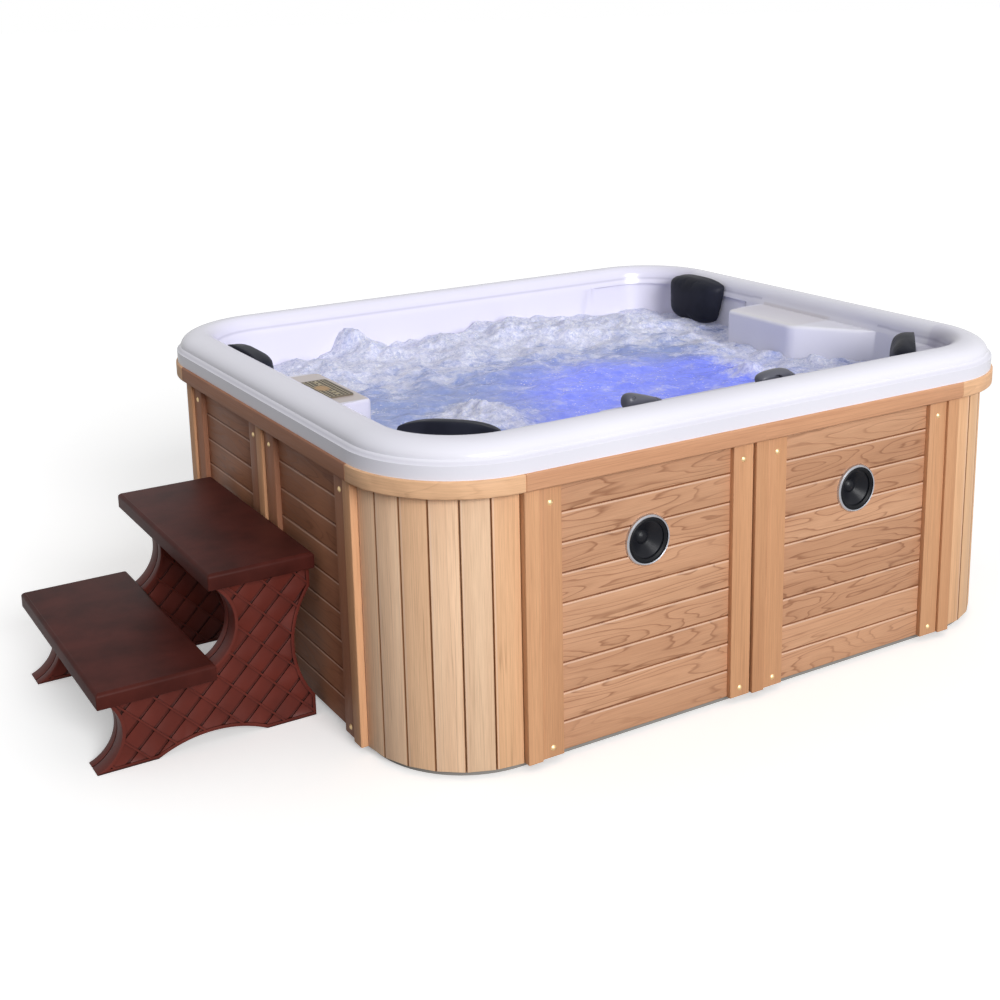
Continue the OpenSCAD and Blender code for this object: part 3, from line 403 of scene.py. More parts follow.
def cedar(name, along, piece_number, base, figure=1.0, spread=1.0, arch=STRAIGHT, shading=None, tones=None):
    """Cedar, planed and oiled: cut lengthwise, its rings give pale arches between thin dark lines.

    piece_number(tree, coordinates) returns a number that differs from board to board, so that each
    board shows another part of a trunk. figure is how strongly the rings show, spread how far the
    boards differ in tone, and arch how the rings run. shading paints shade on a piece towards its own
    two edges and a highlight on its planed edge. tones, where given, are the tints that pieces are picked
    from.
    """
    material, tree, principled, coordinates = new_material(
        name, Base_Color=colour(base), Roughness=0.55, IOR=1.5, Specular_IOR_Level=0.3)
    chance = add_node(tree, "ShaderNodeTexWhiteNoise", {"W": piece_number(tree, coordinates)},
                      noise_dimensions="1D")
    laid = unrolled(tree, coordinates) if along == "arc" else coordinates
    turned = add_node(tree, "ShaderNodeMapping", {"Vector": laid, "Rotation": GRAIN_TURN[along]}).outputs[0]
    shift = add_node(tree, "ShaderNodeVectorMath", {0: chance.outputs["Color"], 1: TRUNK_REACH},
                     operation="MULTIPLY").outputs[0]
    placed = add_node(tree, "ShaderNodeVectorMath", {0: turned, 1: shift}, operation="ADD").outputs[0]
    # The cut face meets the rings where the trunk swells and bends, which draws long arches and eyes
    along_face, across_face, lines = arch
    trunk = stretched(tree, placed, (along_face, across_face, across_face))
    swelling = clouds(tree, trunk, 1.0, 2.8, 0.36, 0.2)
    rings = maths(tree, "FRACT", maths(tree, "MULTIPLY", swelling, lines))
    line = ramp(tree, rings, (0.0, 0.0), (0.45, 0.03), (0.78, 0.16), (0.92, 1.0), (0.96, 0.7), (1.0, 0.0))
    # The lines fade and return along the board
    fade = ramp(tree, clouds(tree, placed, 1.5, 1.0), (0.38, 0.30), (0.62, 1.0))
    strength = maths(tree, "MULTIPLY", line, fade, 0.58 * figure)
    wood = mix_colours(tree, strength, colour(base), colour("cedar_line"))
    # Pores and fibres: hair lines drawn 2 mm wide and 90 mm long, coarser than real ones, so that they show
    fibres = clouds(tree, stretched(tree, placed, (11, 420, 420)), 1.0, 3.0, 0.6)
    fibre_shade = ramp(tree, fibres, (0.30, (0.86, 0.84, 0.82, 1)), (0.64, 1.05))
    wood = mix_colours(tree, 0.75, wood, fibre_shade, "MULTIPLY")
    # Broad bands of paler and redder wood along the board
    bands = clouds(tree, stretched(tree, placed, (1.0, 22, 22)), 1.0, 2.0)
    band_shade = ramp(tree, bands, (0.3, (0.92, 0.87, 0.83, 1)), (0.7, (1.04, 1.03, 1.01, 1)))
    wood = mix_colours(tree, 0.9, wood, band_shade, "MULTIPLY")
    tint = ramp(tree, chance.outputs["Value"], *(tones or (
        (0.0, (1 - 0.13 * spread, 1 - 0.17 * spread, 1 - 0.20 * spread, 1)), (0.5, (1.0, 0.99, 0.98, 1)),
        (1.0, (1 + 0.05 * spread, 1 + 0.07 * spread, 1 + 0.07 * spread, 1)))))
    wood = mix_colours(tree, 1.0, wood, tint, "MULTIPLY")
    # Painted shade towards the piece's edges and in the groove, and a painted highlight on its planed edge
    if shading:
        place, edges, painted_highlight = shading
        share = maths(tree, "FRACT", place(tree, coordinates))
        across = ramp(tree, share, *((at, warm(value)) for at, value in edges))
        wood = mix_colours(tree, 1.0, wood, across, "MULTIPLY")
        wood = mix_colours(tree, ramp(tree, share, *painted_highlight), wood, srgb("#F2D2BC"))
    feed(tree, principled, {"Base Color": wood, "Roughness": ramp(tree, rings, (0.0, 0.60), (1.0, 0.46))})
    bump(tree, principled, mix_colours(tree, 0.35, fibres, rings), 0.3, 0.0006)
    return material


def moulded(name, base, roughness, grain_mm=1.2, strength=0.15, depth=0.0002, variation=0.08, **shader):
    """Injection-moulded plastic: an even colour with a fine spark-eroded grain and faint flow marks."""
    material, tree, principled, coordinates = new_material(
        name, Base_Color=base, Roughness=roughness, **shader)
    flow = ramp(tree, clouds(tree, coordinates, 9.0, 3.0), (0.3, 1 - variation), (0.7, 1 + variation))
    feed(tree, principled, {"Base Color": mix_colours(tree, 1.0, base, flow, "MULTIPLY")})
    bump(tree, principled, clouds(tree, coordinates, 1000 / grain_mm, 2.0), strength, depth)
    return material


def turned_metal(name, base, roughness):
    """Plated or turned metal: bright, with faint handling haze."""
    material, tree, principled, coordinates = new_material(
        name, Base_Color=base, Roughness=roughness, Metallic=1.0)
    haze = clouds(tree, coordinates, 60.0, 3.0)
    feed(tree, principled, {"Roughness": ramp(tree, haze, (0.3, roughness), (0.75, roughness + 0.12))})
    return material


def paint_groove_shade(material, reach, dark):
    """Painted shade in a narrow moulded groove: darker where walls stand close."""
    tree = material.node_tree
    principled = tree.nodes["Principled BSDF"]
    plain = principled.inputs["Base Color"].links[0].from_socket
    open_share = add_node(tree, "ShaderNodeAmbientOcclusion", {"Distance": reach}, samples=6).outputs["AO"]
    groove_shade = ramp(tree, open_share, (0.35, 1.0), (0.85, 0.0))
    feed(tree, principled, {"Base Color": mix_colours(tree, groove_shade, plain, dark)})


# Shell: columns round the rim, each with its place, its outward direction and its side

# Steps round a corner and along a side, closer together within a reach of where a moulded form breaks off
CORNER_STEPS = 30
COARSE_STEP = 0.022
FINE_STEP = 0.0035
BREAK_REACH = 0.040
# The rim and walls, in metres, with the lean of the inner roll in degrees
LIP_SETBACK = 0.006
LIP_FOOT = 0.811
LIP_BAND = 0.037
LIP_STEP = 0.013
RIM_WIDTH = 0.132
INNER_ROLL = 0.040
ROLL_LEAN = 10
ROLL_CLEARANCE = 0.007
WALL_TOP = 0.842
WALL_LEAN = 0.060
SEAT = 0.340
FLOOR = 0.030
SHELL_WALL = 0.007
# Moulded features: side, one end and the other along it, distance of the inner face, height of the top,
# and how long the drawn-in end at each of those takes to reach its full depth
LEFT_CONSOLE = ("left", -0.310, 0.068, 0.095, 0.874, 0.032, 0.032)
FRONT_LEDGE = ("front", -0.410, 0.350, 0.102, 0.860, 0.030, 0.030)
RIGHT_CONSOLE = ("right", -0.400, 0.180, 0.026, 0.840, 0.234, 0.030)
FEATURES = (LEFT_CONSOLE, FRONT_LEDGE, RIGHT_CONSOLE)
PLAIN_TOP = 0.836
CORNER_REST = 0.100
# A shallow hollow moulded into the back wall and round to the right-hand pillow
HOLLOW_FROM = 0.600
HOLLOW_TO = 0.270
HOLLOW_DEPTH = 0.011
# Steps over the cove, the slope and the roll, a shelf and its edge, the wall and the foot
COVE_STEPS = 4
CREST_STEPS = 14
SHELF_STEPS = 5
WALL_STEPS = 14
FOOT_STEPS = 4
SHELF_EDGE = 0.013
ROW_GAP = 0.0002
FOOT_RADIUS = 0.025
# Rows of a cut, counted from the foot of the lip, that carry painted shade: in the cove, under the inner
# roll, and on a console's flat top
COVE_ROWS = (4, 5)
ROLL_ROW = 32
SHELF_ROWS = range(34, 42)
FOOTWELL_LENGTH = 1.040
FOOTWELL_WIDTH = 0.780
FOOTWELL_RADIUS = 0.120
FOOTWELL_EDGE = 0.012


class Column:
    """One upright cut through the rim and wall, standing on the corner centres' rectangle."""
    def __init__(self, base, outward, side, along):
        self.base, self.outward, self.side, self.along = base, outward, side, along

    def at(self, distance, z):
        x, y = (base + outward * distance for base, outward in zip(self.base, self.outward))
        return Vector((x, y, z))


def spaced(start, end, breaks):
    """Places from start to end, closer together near the breaks."""
    places = [start]
    sign = 1 if end > start else -1
    while (end - places[-1]) * sign > 1e-9:
        here = places[-1]
        near = any(abs(here - b) < BREAK_REACH for b in breaks)
        places.append(here + sign * min(FINE_STEP if near else COARSE_STEP, abs(end - here)))
    return places


def rim_columns():
    """Runs anticlockwise seen from above, starting on the front side."""
    half_x, half_y = corner_centres()
    columns = []
    runs = (("front", -90, -half_x, half_x, -half_y), ("right", 0, -half_y, half_y, half_x),
            ("back", 90, half_x, -half_x, half_y), ("left", 180, half_y, -half_y, -half_x))
    for side, degrees, first, last, across in runs:
        angle = math.radians(degrees)
        outward = (round(math.cos(angle)), round(math.sin(angle)))
        breaks = [end for name, low, high, *_ in FEATURES if name == side for end in (low, high)]
        breaks += {"back": [HOLLOW_FROM, HOLLOW_FROM + 0.04], "right": [HOLLOW_TO]}.get(side, [])
        for place in spaced(first, last, breaks)[:-1]:
            base = (place, across) if side in ("front", "back") else (across, place)
            columns.append(Column(base, outward, side, place))
        centre = (last, across) if side in ("front", "back") else (across, last)
        for i in range(CORNER_STEPS):
            turn = angle + math.pi / 2 * i / CORNER_STEPS
            columns.append(Column(centre, (math.cos(turn), math.sin(turn)), side + "_corner", turn))
    return columns


def lip_distance():
    return size("corner") - LIP_SETBACK


def wall_distance(z):
    """Distance of the basin wall from the corner centres' rectangle, up to the crest of the rim."""
    lip = lip_distance()
    roll_at = lip - (RIM_WIDTH - INNER_ROLL * math.cos(math.radians(ROLL_LEAN)) - ROLL_CLEARANCE)
    roll_z = size("height") - INNER_ROLL
    if z > roll_z:
        return roll_at - math.sqrt(max(0.0, INNER_ROLL ** 2 - (z - roll_z) ** 2))
    if z > WALL_TOP:
        blend = (z - WALL_TOP) / (roll_z - WALL_TOP)
        return (lip - RIM_WIDTH) * (1 - blend) + (roll_at - INNER_ROLL) * blend
    return lip - RIM_WIDTH - (WALL_TOP - z) * WALL_LEAN / (WALL_TOP - SEAT)


def feature_at(column):
    """The share by which the wall is drawn in at this column, its inner face and its top."""
    for side, first, last, inner, top, first_run, last_run in FEATURES:
        if column.side != side or not first - 0.06 < column.along < last + 0.06:
            continue
        shares = []
        for inward, run in ((column.along - first, first_run), (last - column.along, last_run)):
            t = min(1.0, max(0.0, inward / run))
            straight = run > 0.1
            shares.append(t if straight else (1 - (1 - t) ** 3) ** (1 / 3))
        return min(shares), inner, top
    return 0.0, 0.0, PLAIN_TOP


def rest_limit(column):
    """Distance at which the flat rest across a front corner cuts this column."""
    half_x, half_y = corner_centres()
    for sign in (-1, 1):
        normal = (sign * math.sqrt(0.5), -math.sqrt(0.5))
        facing = column.outward[0] * normal[0] + column.outward[1] * normal[1]
        if facing > 0.5:
            offset = (column.base[0] - sign * half_x) * normal[0] + (column.base[1] + half_y) * normal[1]
            return (CORNER_REST - offset) / facing
    return 1.0


def hollow_at(column, z):
    """Depth of the shallow hollow beside the back-right seat."""
    if column.side == "back":
        edge = HOLLOW_FROM + 0.05 * smoothstep(0.78, PLAIN_TOP, z)
        across = smoothstep(edge - 0.012, edge + 0.012, column.along)
    elif column.side == "right":
        across = smoothstep(HOLLOW_TO - 0.010, HOLLOW_TO + 0.010, column.along)
    else:
        across = 1.0 if column.side == "right_corner" else 0.0
    return HOLLOW_DEPTH * across * smoothstep(0.42, 0.5, z)


def face_distance(column, z):
    """Distance of the finished inner face below the shelf of a console, or of the plain wall."""
    share, inner = feature_at(column)[:2]
    wall = wall_distance(z)
    if share > 0:
        return wall + share * (inner - wall)
    rest = rest_limit(column)
    if rest < wall:
        return rest
    return wall + hollow_at(column, z)


def shell_profile(column):
    """Points of one cut, from the foot of the lip over the rim and down to the seat."""
    lip, crest = lip_distance(), size("height")
    points = [(lip, LIP_FOOT), (lip, LIP_FOOT + LIP_BAND * 0.5), (lip, LIP_FOOT + LIP_BAND - 0.003)]
    # The cove between the band and the slope
    step_z = LIP_FOOT + LIP_BAND
    for i in range(COVE_STEPS + 1):
        t = i / COVE_STEPS
        points.append((lip - LIP_STEP * t, step_z + LIP_STEP * smoothstep(0, 1, t)))
    # The broad slope up to the crest, a quarter of an ellipse, and the inner roll down from it
    start = wall_distance(crest)
    foot_d, foot_z = lip - LIP_STEP, step_z + LIP_STEP
    for i in range(1, CREST_STEPS):
        a = math.pi / 2 * i / CREST_STEPS
        points.append((start + (foot_d - start) * math.cos(a), foot_z + (crest - foot_z) * math.sin(a)))
    top = feature_at(column)[2]
    for i in range(CREST_STEPS + 1):
        z = top + (crest - top) * math.cos(math.pi / 2 * i / CREST_STEPS)
        points.append((wall_distance(z), z))
    # The flat top of a console and its rounded edge
    shelf_from, shelf_to = wall_distance(top), face_distance(column, top)
    edge = min(SHELF_EDGE, max(0.0, (shelf_from - shelf_to) * 0.45))
    for i in range(1, SHELF_STEPS + 1):
        t = i / SHELF_STEPS
        points.append((shelf_from + (shelf_to + edge - shelf_from) * t, top))
    for i in range(1, SHELF_STEPS + 1):
        a = math.pi / 2 * i / SHELF_STEPS
        if edge > 0:
            points.append((shelf_to + edge - edge * math.sin(a), top - edge + edge * math.cos(a)))
        else:
            points.append((face_distance(column, top - ROW_GAP * i), top - ROW_GAP * i))
    # The wall and its rounded foot
    low = SEAT + FOOT_RADIUS
    high = points[-1][1]
    for i in range(1, WALL_STEPS + 1):
        z = high + (low - high) * i / WALL_STEPS
        points.append((face_distance(column, z), z))
    foot = face_distance(column, low)
    for i in range(1, FOOT_STEPS + 1):
        a = math.pi / 2 * i / FOOT_STEPS
        points.append((foot - FOOT_RADIUS + FOOT_RADIUS * math.cos(a), low - FOOT_RADIUS * math.sin(a)))
    return points


def footwell_point(column, z, outward=0.0):
    """The place on the footwell's outline that belongs to this column."""
    half_x, half_y = corner_centres()
    reach_x = FOOTWELL_LENGTH / 2 - FOOTWELL_RADIUS
    reach_y = FOOTWELL_WIDTH / 2 - FOOTWELL_RADIUS
    radius = FOOTWELL_RADIUS + outward
    return Vector((column.base[0] / half_x * reach_x + column.outward[0] * radius,
                   column.base[1] / half_y * reach_y + column.outward[1] * radius, z))


def shell_upright(column):
    """All points of one cut, with the seat, the footwell's edge and wall, and its floor."""
    upright = [column.at(d, z) for d, z in shell_profile(column)]
    start, edge = upright[-1], footwell_point(column, SEAT, FOOTWELL_EDGE)
    upright += [start.lerp(edge, t) for t in (0.33, 0.66, 1.0)]
    for i in range(1, 4):
        a = math.pi / 2 * i / 3
        upright.append(footwell_point(column, SEAT - FOOTWELL_EDGE * (1 - math.cos(a)),
                                      FOOTWELL_EDGE * (1 - math.sin(a))))
    rise = SEAT - FOOTWELL_EDGE - FLOOR
    upright += [footwell_point(column, FLOOR + rise * t) for t in (0.66, 0.33, 0.08)]
    upright += [footwell_point(column, FLOOR, -0.02), footwell_point(column, FLOOR, -0.06)]
    return upright


def shell_acrylic():
    """Vacuum-formed acrylic: deep gloss, very slightly wavy, white with a cool lavender cast."""
    material, tree, principled, coordinates = new_material(
        "vacuum-formed acrylic", Base_Color=colour("acrylic"), Roughness=0.24, IOR=1.49,
        Coat_Weight=0.15, Coat_Roughness=0.12)
    tone = ramp(tree, clouds(tree, coordinates, 2.5, 3.0), (0.3, colour("acrylic")), (0.7, srgb("#F1F0FA")))
    # Painted shade: inside the basin the walls are tinted a darker lavender, the consoles' flat tops a warm
    # grey, and the cove under the slope and the groove under the inner roll show a faint dark line
    for name, tint, share in (
            ("inner", "#DBD8EA", 0.85), ("top", "#BFB1AC", 0.9), ("cove", "#ADAAC0", 0.55)):
        tone = mix_colours(tree, maths(tree, "MULTIPLY", marked(tree, name), share), tone, srgb(tint))
    feed(tree, principled, {"Base Color": tone})
    bump(tree, principled, clouds(tree, coordinates, 7.0, 1.0), 0.06, 0.004)
    return material


class MakeShell(bpy.types.Operator):
    """Forms the acrylic shell as one sheet: rim, walls, consoles, corner rests, seats and footwell"""
    bl_idname = "tub.make_shell"
    bl_label = "Shell"

    def execute(self, context):
        columns = rim_columns()
        rows = [shell_upright(column) for column in columns]
        count, depth = len(rows), len(rows[0])
        faces = [(i * depth + k, j * depth + k, j * depth + k + 1, i * depth + k + 1)
                 for i, j in ((i, (i + 1) % count) for i in range(count)) for k in range(depth - 1)]
        faces.append(tuple(i * depth + depth - 1 for i in range(count)))
        mesh = bpy.data.meshes.new("shell")
        mesh.from_pydata([p for upright in rows for p in upright], [], faces)
        mesh.update()
        shell = new_piece("shell", mesh)
        cove, top, inner = [], [], []
        for column in columns:
            drawn_in = feature_at(column)[0]
            # Painted shade: warm grey on the consoles' flat tops, darker lavender on the inner walls with
            # less of it on the right side, and a dark line in the cove and under the inner roll
            top_shade = {"left": 1.0, "right": 0.3}.get(column.side, 0.0) if drawn_in > 0.95 else 0.0
            inner_shade = 0.15 if column.side == "right" else 1.0
            for k in range(depth):
                under_roll = k == ROLL_ROW and drawn_in == 0
                cove.append(0.36 if k in COVE_ROWS else 0.9 if under_roll else 0.0)
                top.append(top_shade if k in SHELF_ROWS else 0.0)
                inner.append(inner_shade * smoothstep(14, 30, k))
        for name, values in (("cove", cove), ("top", top), ("inner", inner)):
            mark(shell, name, values)
        apply_modifier(shell, "SOLIDIFY", thickness=SHELL_WALL, offset=-1.0, use_quality_normals=True)
        shade(shell, 50)
        finish_piece(shell, "acrylic_shell", shell_acrylic(), replaced=["tub_shell"])
        return {"FINISHED"}


# Cladding

SAWN_EDGE = 0.0012
STRIP_EDGE = 0.0025
TRIM_EDGE = 0.003


class DressCladding(bpy.types.Operator):
    """Panels, stiles, cover strips, corner slats and trim with sanded edges, in oiled cedar"""
    bl_idname = "tub.dress_cladding"
    bl_label = "Cladding"

    def execute(self, context):
        across = cedar("oiled cedar, boards along the tub", "x", board_number, "cedar_board", 1.0, 1.0,
                       FLAMED, BOARD_SHADING)
        # The side boards, side stiles and short trim take the side colour, which carries painted shade
        along = cedar("oiled cedar, boards across the tub", "y", board_number, "cedar_side_shaded", 1.0, 1.0,
                      FLAMED, BOARD_SHADING)
        stiles = upright_number(STILE_STEP)
        uprights = cedar("oiled cedar, stiles", "z", stiles, "cedar_stile", 0.35, 0.5)
        side_uprights = cedar("oiled cedar, side stiles", "z", stiles, "cedar_side_shaded", 0.35, 0.5)
        for side, boards, posts in (("front", across, uprights), ("back", across, uprights),
                                    ("left", along, side_uprights), ("right", along, side_uprights)):
            softened("boards_" + side, side + "_panels", boards, edge=SAWN_EDGE)
            softened("stiles_" + side, side + "_stiles", posts)
        strips = cedar("oiled cedar, cover strips", "z", upright_number(STRIP_STEP), "cedar_stile",
                       0.35, 0.9)
        softened("cover_strips", "strips", strips, edge=STRIP_EDGE, segments=3)
        slats = cedar("oiled cedar, corner slats", "z", slat_number, "cedar_slat", 0.45, 2.3, STRAIGHT,
                      SLAT_SHADING, SLAT_TONES)
        softened("corner_slats", "slats", slats)
        inside_x, inside_y = (half - 0.001 for half in corner_centres())
        long_wood = cedar("oiled cedar, long trim", "x", corner_number, "cedar_trim", 0.3, 0.3)
        short_wood = cedar("oiled cedar, short trim", "y", corner_number, "cedar_side_shaded", 0.3, 0.3)
        # Its paler colour is painted light
        bent_wood = cedar("steam-bent cedar, corner trim", "arc", corner_number, "cedar_bent_lit", 0.6, 0.3,
                          FLAMED)
        for node, name, wood, keep in (
                ("trim_rails", "long_trim", long_wood, lambda p: abs(p.y) > inside_y),
                ("trim_rails", "short_trim", short_wood,
                 lambda p: abs(p.x) > inside_x and abs(p.y) <= inside_y),
                ("trim_corners", "corner_trim", bent_wood, None)):
            softened(node, name, wood, edge=TRIM_EDGE, segments=3, keep=keep)
        return {"FINISHED"}


# Controls

# The film's pads: axis, pitch and the share of it that a pad takes. Its window: axis, middle and half
# width
FILM_PADS = ((0, 0.0118, 0.46), (1, 0.0128, 0.56))
FILM_WINDOW = ((0, -0.938, 0.024), (1, -0.134, 0.036))
LEDGE = 0.860
SHAFT_RADIUS = 0.008
SHAFT_LENGTH = 0.055
# Levers, drawn out along X from the shaft: place, half width, foot and top of each section above the
# ledge
DIVERTER = ((-0.027, 0.011, 0.010, 0.034), (-0.022, 0.021, 0.006, 0.050), (-0.006, 0.027, 0.005, 0.053),
            (0.018, 0.026, 0.005, 0.047), (0.050, 0.021, 0.006, 0.036), (0.078, 0.0155, 0.007, 0.0265),
            (0.083, 0.0145, 0.007, 0.025), (0.0845, 0.011, 0.009, 0.0205), (0.087, 0.011, 0.009, 0.020),
            (0.0885, 0.0135, 0.007, 0.0235), (0.098, 0.011, 0.007, 0.019), (0.113, 0.004, 0.009, 0.012))
AIR_LEVER = ((-0.027, 0.010, 0.007, 0.022), (-0.022, 0.019, 0.005, 0.032), (-0.005, 0.025, 0.0045, 0.039),
             (0.025, 0.025, 0.0045, 0.043), (0.060, 0.022, 0.005, 0.044), (0.082, 0.018, 0.006, 0.038),
             (0.090, 0.0165, 0.007, 0.034), (0.0915, 0.012, 0.010, 0.028), (0.094, 0.012, 0.010, 0.027),
             (0.0955, 0.015, 0.007, 0.030), (0.106, 0.012, 0.007, 0.022), (0.119, 0.004, 0.009, 0.013))
# Each lever: node and body, where its shaft stands, its turn, its sections, and the recess in its near
# side: place along X, height, half length, half height and how deep it goes in from the near side
LEVERS = (("diverter_handle", (-0.321, -0.7755), 6, DIVERTER, (-0.006, 0.040, 0.0060, 0.0045, -0.016)),
          ("air_handle", (0.145, -0.7755), 0, AIR_LEVER, (0.033, 0.013, 0.021, 0.0155, -0.008)))


def printed_film():
    """Printed polyester film: dark olive, with rows of small pale pads round a soft amber window."""
    material, tree, principled, coordinates = new_material(
        "printed polyester film", Base_Color=srgb("#6B604F"), Roughness=0.5, Specular_IOR_Level=0.25)
    places = axes(tree, coordinates)
    low = box_of("control_overlay")[0]
    pads = 1.0
    for axis, pitch, share in FILM_PADS:
        place = maths(tree, "DIVIDE", maths(tree, "SUBTRACT", places[axis], low[axis]), pitch)
        away = maths(tree, "ABSOLUTE", maths(tree, "SUBTRACT", maths(tree, "FRACT", place), 0.5))
        pads = maths(tree, "MULTIPLY", pads, maths(tree, "LESS_THAN", away, share / 2))
    spread = 0.0
    for axis, middle, half in FILM_WINDOW:
        away = maths(tree, "DIVIDE", maths(tree, "SUBTRACT", places[axis], middle), half)
        spread = maths(tree, "ADD", spread, maths(tree, "MULTIPLY", away, away))
    wear = clouds(tree, coordinates, 90.0, 3.0)
    ground = ramp(tree, wear, (0.3, srgb("#463D31")), (0.7, srgb("#5F5443")))
    body = mix_colours(tree, maths(tree, "MULTIPLY", pads, 0.85), ground, srgb("#C6BBA2"))
    window = ramp(tree, spread, (0.35, 0.9), (1.0, 0.0))
    feed(tree, principled, {"Base Color": mix_colours(tree, window, body, srgb("#B8946A"))})
    return material


def set_end(corners, section):
    """Moves the four corners of a bar's end to a section."""
    middle = sum(v.co.z for v in corners) / len(corners)
    place, half, foot, top = section
    for vertex in corners:
        vertex.co = Vector((place, half if vertex.co.y > 0 else -half,
                            top if vertex.co.z > middle else foot))


def drawn_out(sections):
    """A bar drawn out from a block by extruding its end from section to section."""
    deselect()
    bpy.ops.mesh.primitive_cube_add(size=1.0)
    bar = bpy.context.object
    near = [v for v in bar.data.vertices if v.co.x < 0]
    far = [v for v in bar.data.vertices if v.co.x > 0]
    set_end(near, sections[0])
    set_end(far, sections[1])
    ends = {v.index for v in far}
    for vertex in bar.data.vertices:
        vertex.select = vertex.index in ends
    for piece in list(bar.data.edges) + list(bar.data.polygons):
        piece.select = all(i in ends for i in piece.vertices)
    for section in sections[2:]:
        bpy.ops.object.mode_set(mode="EDIT")
        bpy.ops.mesh.select_mode(type="FACE")
        bpy.ops.mesh.extrude_region_move(TRANSFORM_OT_translate={"value": (0.0001, 0.0, 0.0)})
        bpy.ops.object.mode_set(mode="OBJECT")
        set_end([v for v in bar.data.vertices if v.select], section)
    apply_modifier(bar, "SUBSURF", levels=3, render_levels=3)
    return bar


class MakeHandles(bpy.types.Operator):
    """Tear-shaped diverter and arched air lever, drawn out from a block and hollowed for a finger"""
    bl_idname = "tub.make_handles"
    bl_label = "Handles"

    def execute(self, context):
        # Satin dark grey with a fine spark grain and a broad soft highlight
        plastic = moulded("satin grey ABS", srgb("#585963"), 0.34, 1.0, 0.12, 0.0002, 0.06,
                          Specular_IOR_Level=0.4)
        for node, (x, y), turn, sections, (along, height, half_x, half_z, depth) in LEVERS:
            lever = drawn_out(sections)
            deselect()
            bpy.ops.mesh.primitive_cylinder_add(vertices=48, radius=1.0, depth=1.0,
                                                rotation=(math.pi / 2, 0, 0))
            cutter = bpy.context.object
            cutter.scale = (half_x, half_z, 0.04)
            cutter.location = (along, depth - 0.02, height)
            settle(cutter)
            apply_modifier(lever, "BOOLEAN", operation="DIFFERENCE", object=cutter, solver="EXACT")
            bpy.data.objects.remove(cutter)
            deselect()
            bpy.ops.mesh.primitive_cylinder_add(vertices=48, radius=SHAFT_RADIUS, depth=SHAFT_LENGTH,
                                                location=(0, 0, -0.0125))
            shaft = bpy.context.object
            shaft.select_set(True)
            lever.select_set(True)
            context.view_layer.objects.active = lever
            bpy.ops.object.join()
            apply_modifier(lever, "REMESH", mode="VOXEL", voxel_size=0.0011)
            apply_modifier(lever, "SMOOTH", factor=0.5, iterations=4)
            place = Matrix.Translation((x, y, LEDGE)) @ Matrix.Rotation(math.radians(turn), 4, "Z")
            lever.data.transform(place)
            shade(lever, 60)
            finish_piece(lever, node.replace("handle", "lever"), plastic, node, [node])
        return {"FINISHED"}


# Pillows

# Each pillow and its outward direction
PILLOWS = (("pillow_back_left", (-1.0, 0.0)), ("pillow_front_left", (-0.70711, -0.70711)),
           ("pillow_back_right", (1.0, 0.0)), ("pillow_front_right", (0.70711, -0.70711)))
FOAM_PRESSURE = 4.0
SWELL_LIMIT = 0.005
PILLOW_CLEARANCE = 0.0003
CLOTH_FRAMES = 20


def foam_skin():
    """Integral-skin polyurethane foam: near-black navy, satin, with the mould's fine leathery grain."""
    material, tree, principled, coordinates = new_material(
        "moulded polyurethane skin", Base_Color=colour("pillow"), Roughness=0.42, IOR=1.5,
        Specular_IOR_Level=0.10)
    pebbles = add_node(tree, "ShaderNodeTexVoronoi", {
        "Vector": coordinates, "Scale": 620.0, "Randomness": 0.9}, feature="SMOOTH_F1")
    dull = clouds(tree, coordinates, 12.0, 4.0)
    feed(tree, principled, {
        "Base Color": ramp(tree, dull, (0.3, colour("pillow")), (0.72, srgb("#282A35"))),
        "Roughness": ramp(tree, dull, (0.25, 0.36), (0.75, 0.52))})
    bump(tree, principled, pebbles.outputs["Distance"], 0.25, 0.0004)
    return material


def plump(pad, direction):
    """Swells a pad as foam fills its skin. Its back stays on the wall and no point moves past the limit."""
    activate(pad)
    pad.data.remesh_voxel_size = 0.005
    bpy.ops.object.voxel_remesh()
    start = [v.co.copy() for v in pad.data.vertices]
    pinned = [v.index for v in pad.data.vertices if v.normal.dot(direction) > 0.7]
    group = pad.vertex_groups.new(name="back")
    group.add(pinned, 1.0, "REPLACE")
    cloth = pad.modifiers.new("Cloth", "CLOTH")
    cloth.settings.vertex_group_mass = "back"
    cloth.settings.use_pressure = True
    cloth.settings.uniform_pressure_force = FOAM_PRESSURE
    cloth.settings.effector_weights.gravity = 0.0
    for number in range(1, CLOTH_FRAMES + 1):
        bpy.context.scene.frame_set(number)
    activate(pad)
    bpy.ops.object.modifier_apply(modifier="Cloth")
    bpy.context.scene.frame_set(1)
    pad.vertex_groups.clear()
    for vertex, origin in zip(pad.data.vertices, start):
        moved = vertex.co - origin
        if moved.length > SWELL_LIMIT:
            vertex.co = origin + moved * (SWELL_LIMIT / moved.length)
    apply_modifier(pad, "SMOOTH", factor=0.5, iterations=3)
    apply_modifier(pad, "SUBSURF", levels=1, render_levels=1)


def press_back(pad, direction, low, high):
    """Keeps a pad in front of the wall or the corner rest, and between its own foot and top."""
    half_x, half_y = corner_centres()
    for vertex in pad.data.vertices:
        place = vertex.co
        if abs(direction.x) < 0.9:
            reach = direction.dot(place) - abs(direction.x) * half_x - abs(direction.y) * half_y
            away, limit = direction, CORNER_REST - PILLOW_CLEARANCE
        else:
            beyond = Vector((max(0.0, abs(place.x) - half_x) * (1 if place.x > 0 else -1),
                             max(0.0, abs(place.y) - half_y) * (1 if place.y > 0 else -1), 0.0))
            reach, away = beyond.length, beyond.normalized()
            limit = wall_distance(place.z) - PILLOW_CLEARANCE
        if reach > limit:
            vertex.co -= away * (reach - limit)
        vertex.co.z = min(high.z, max(low.z, vertex.co.z))


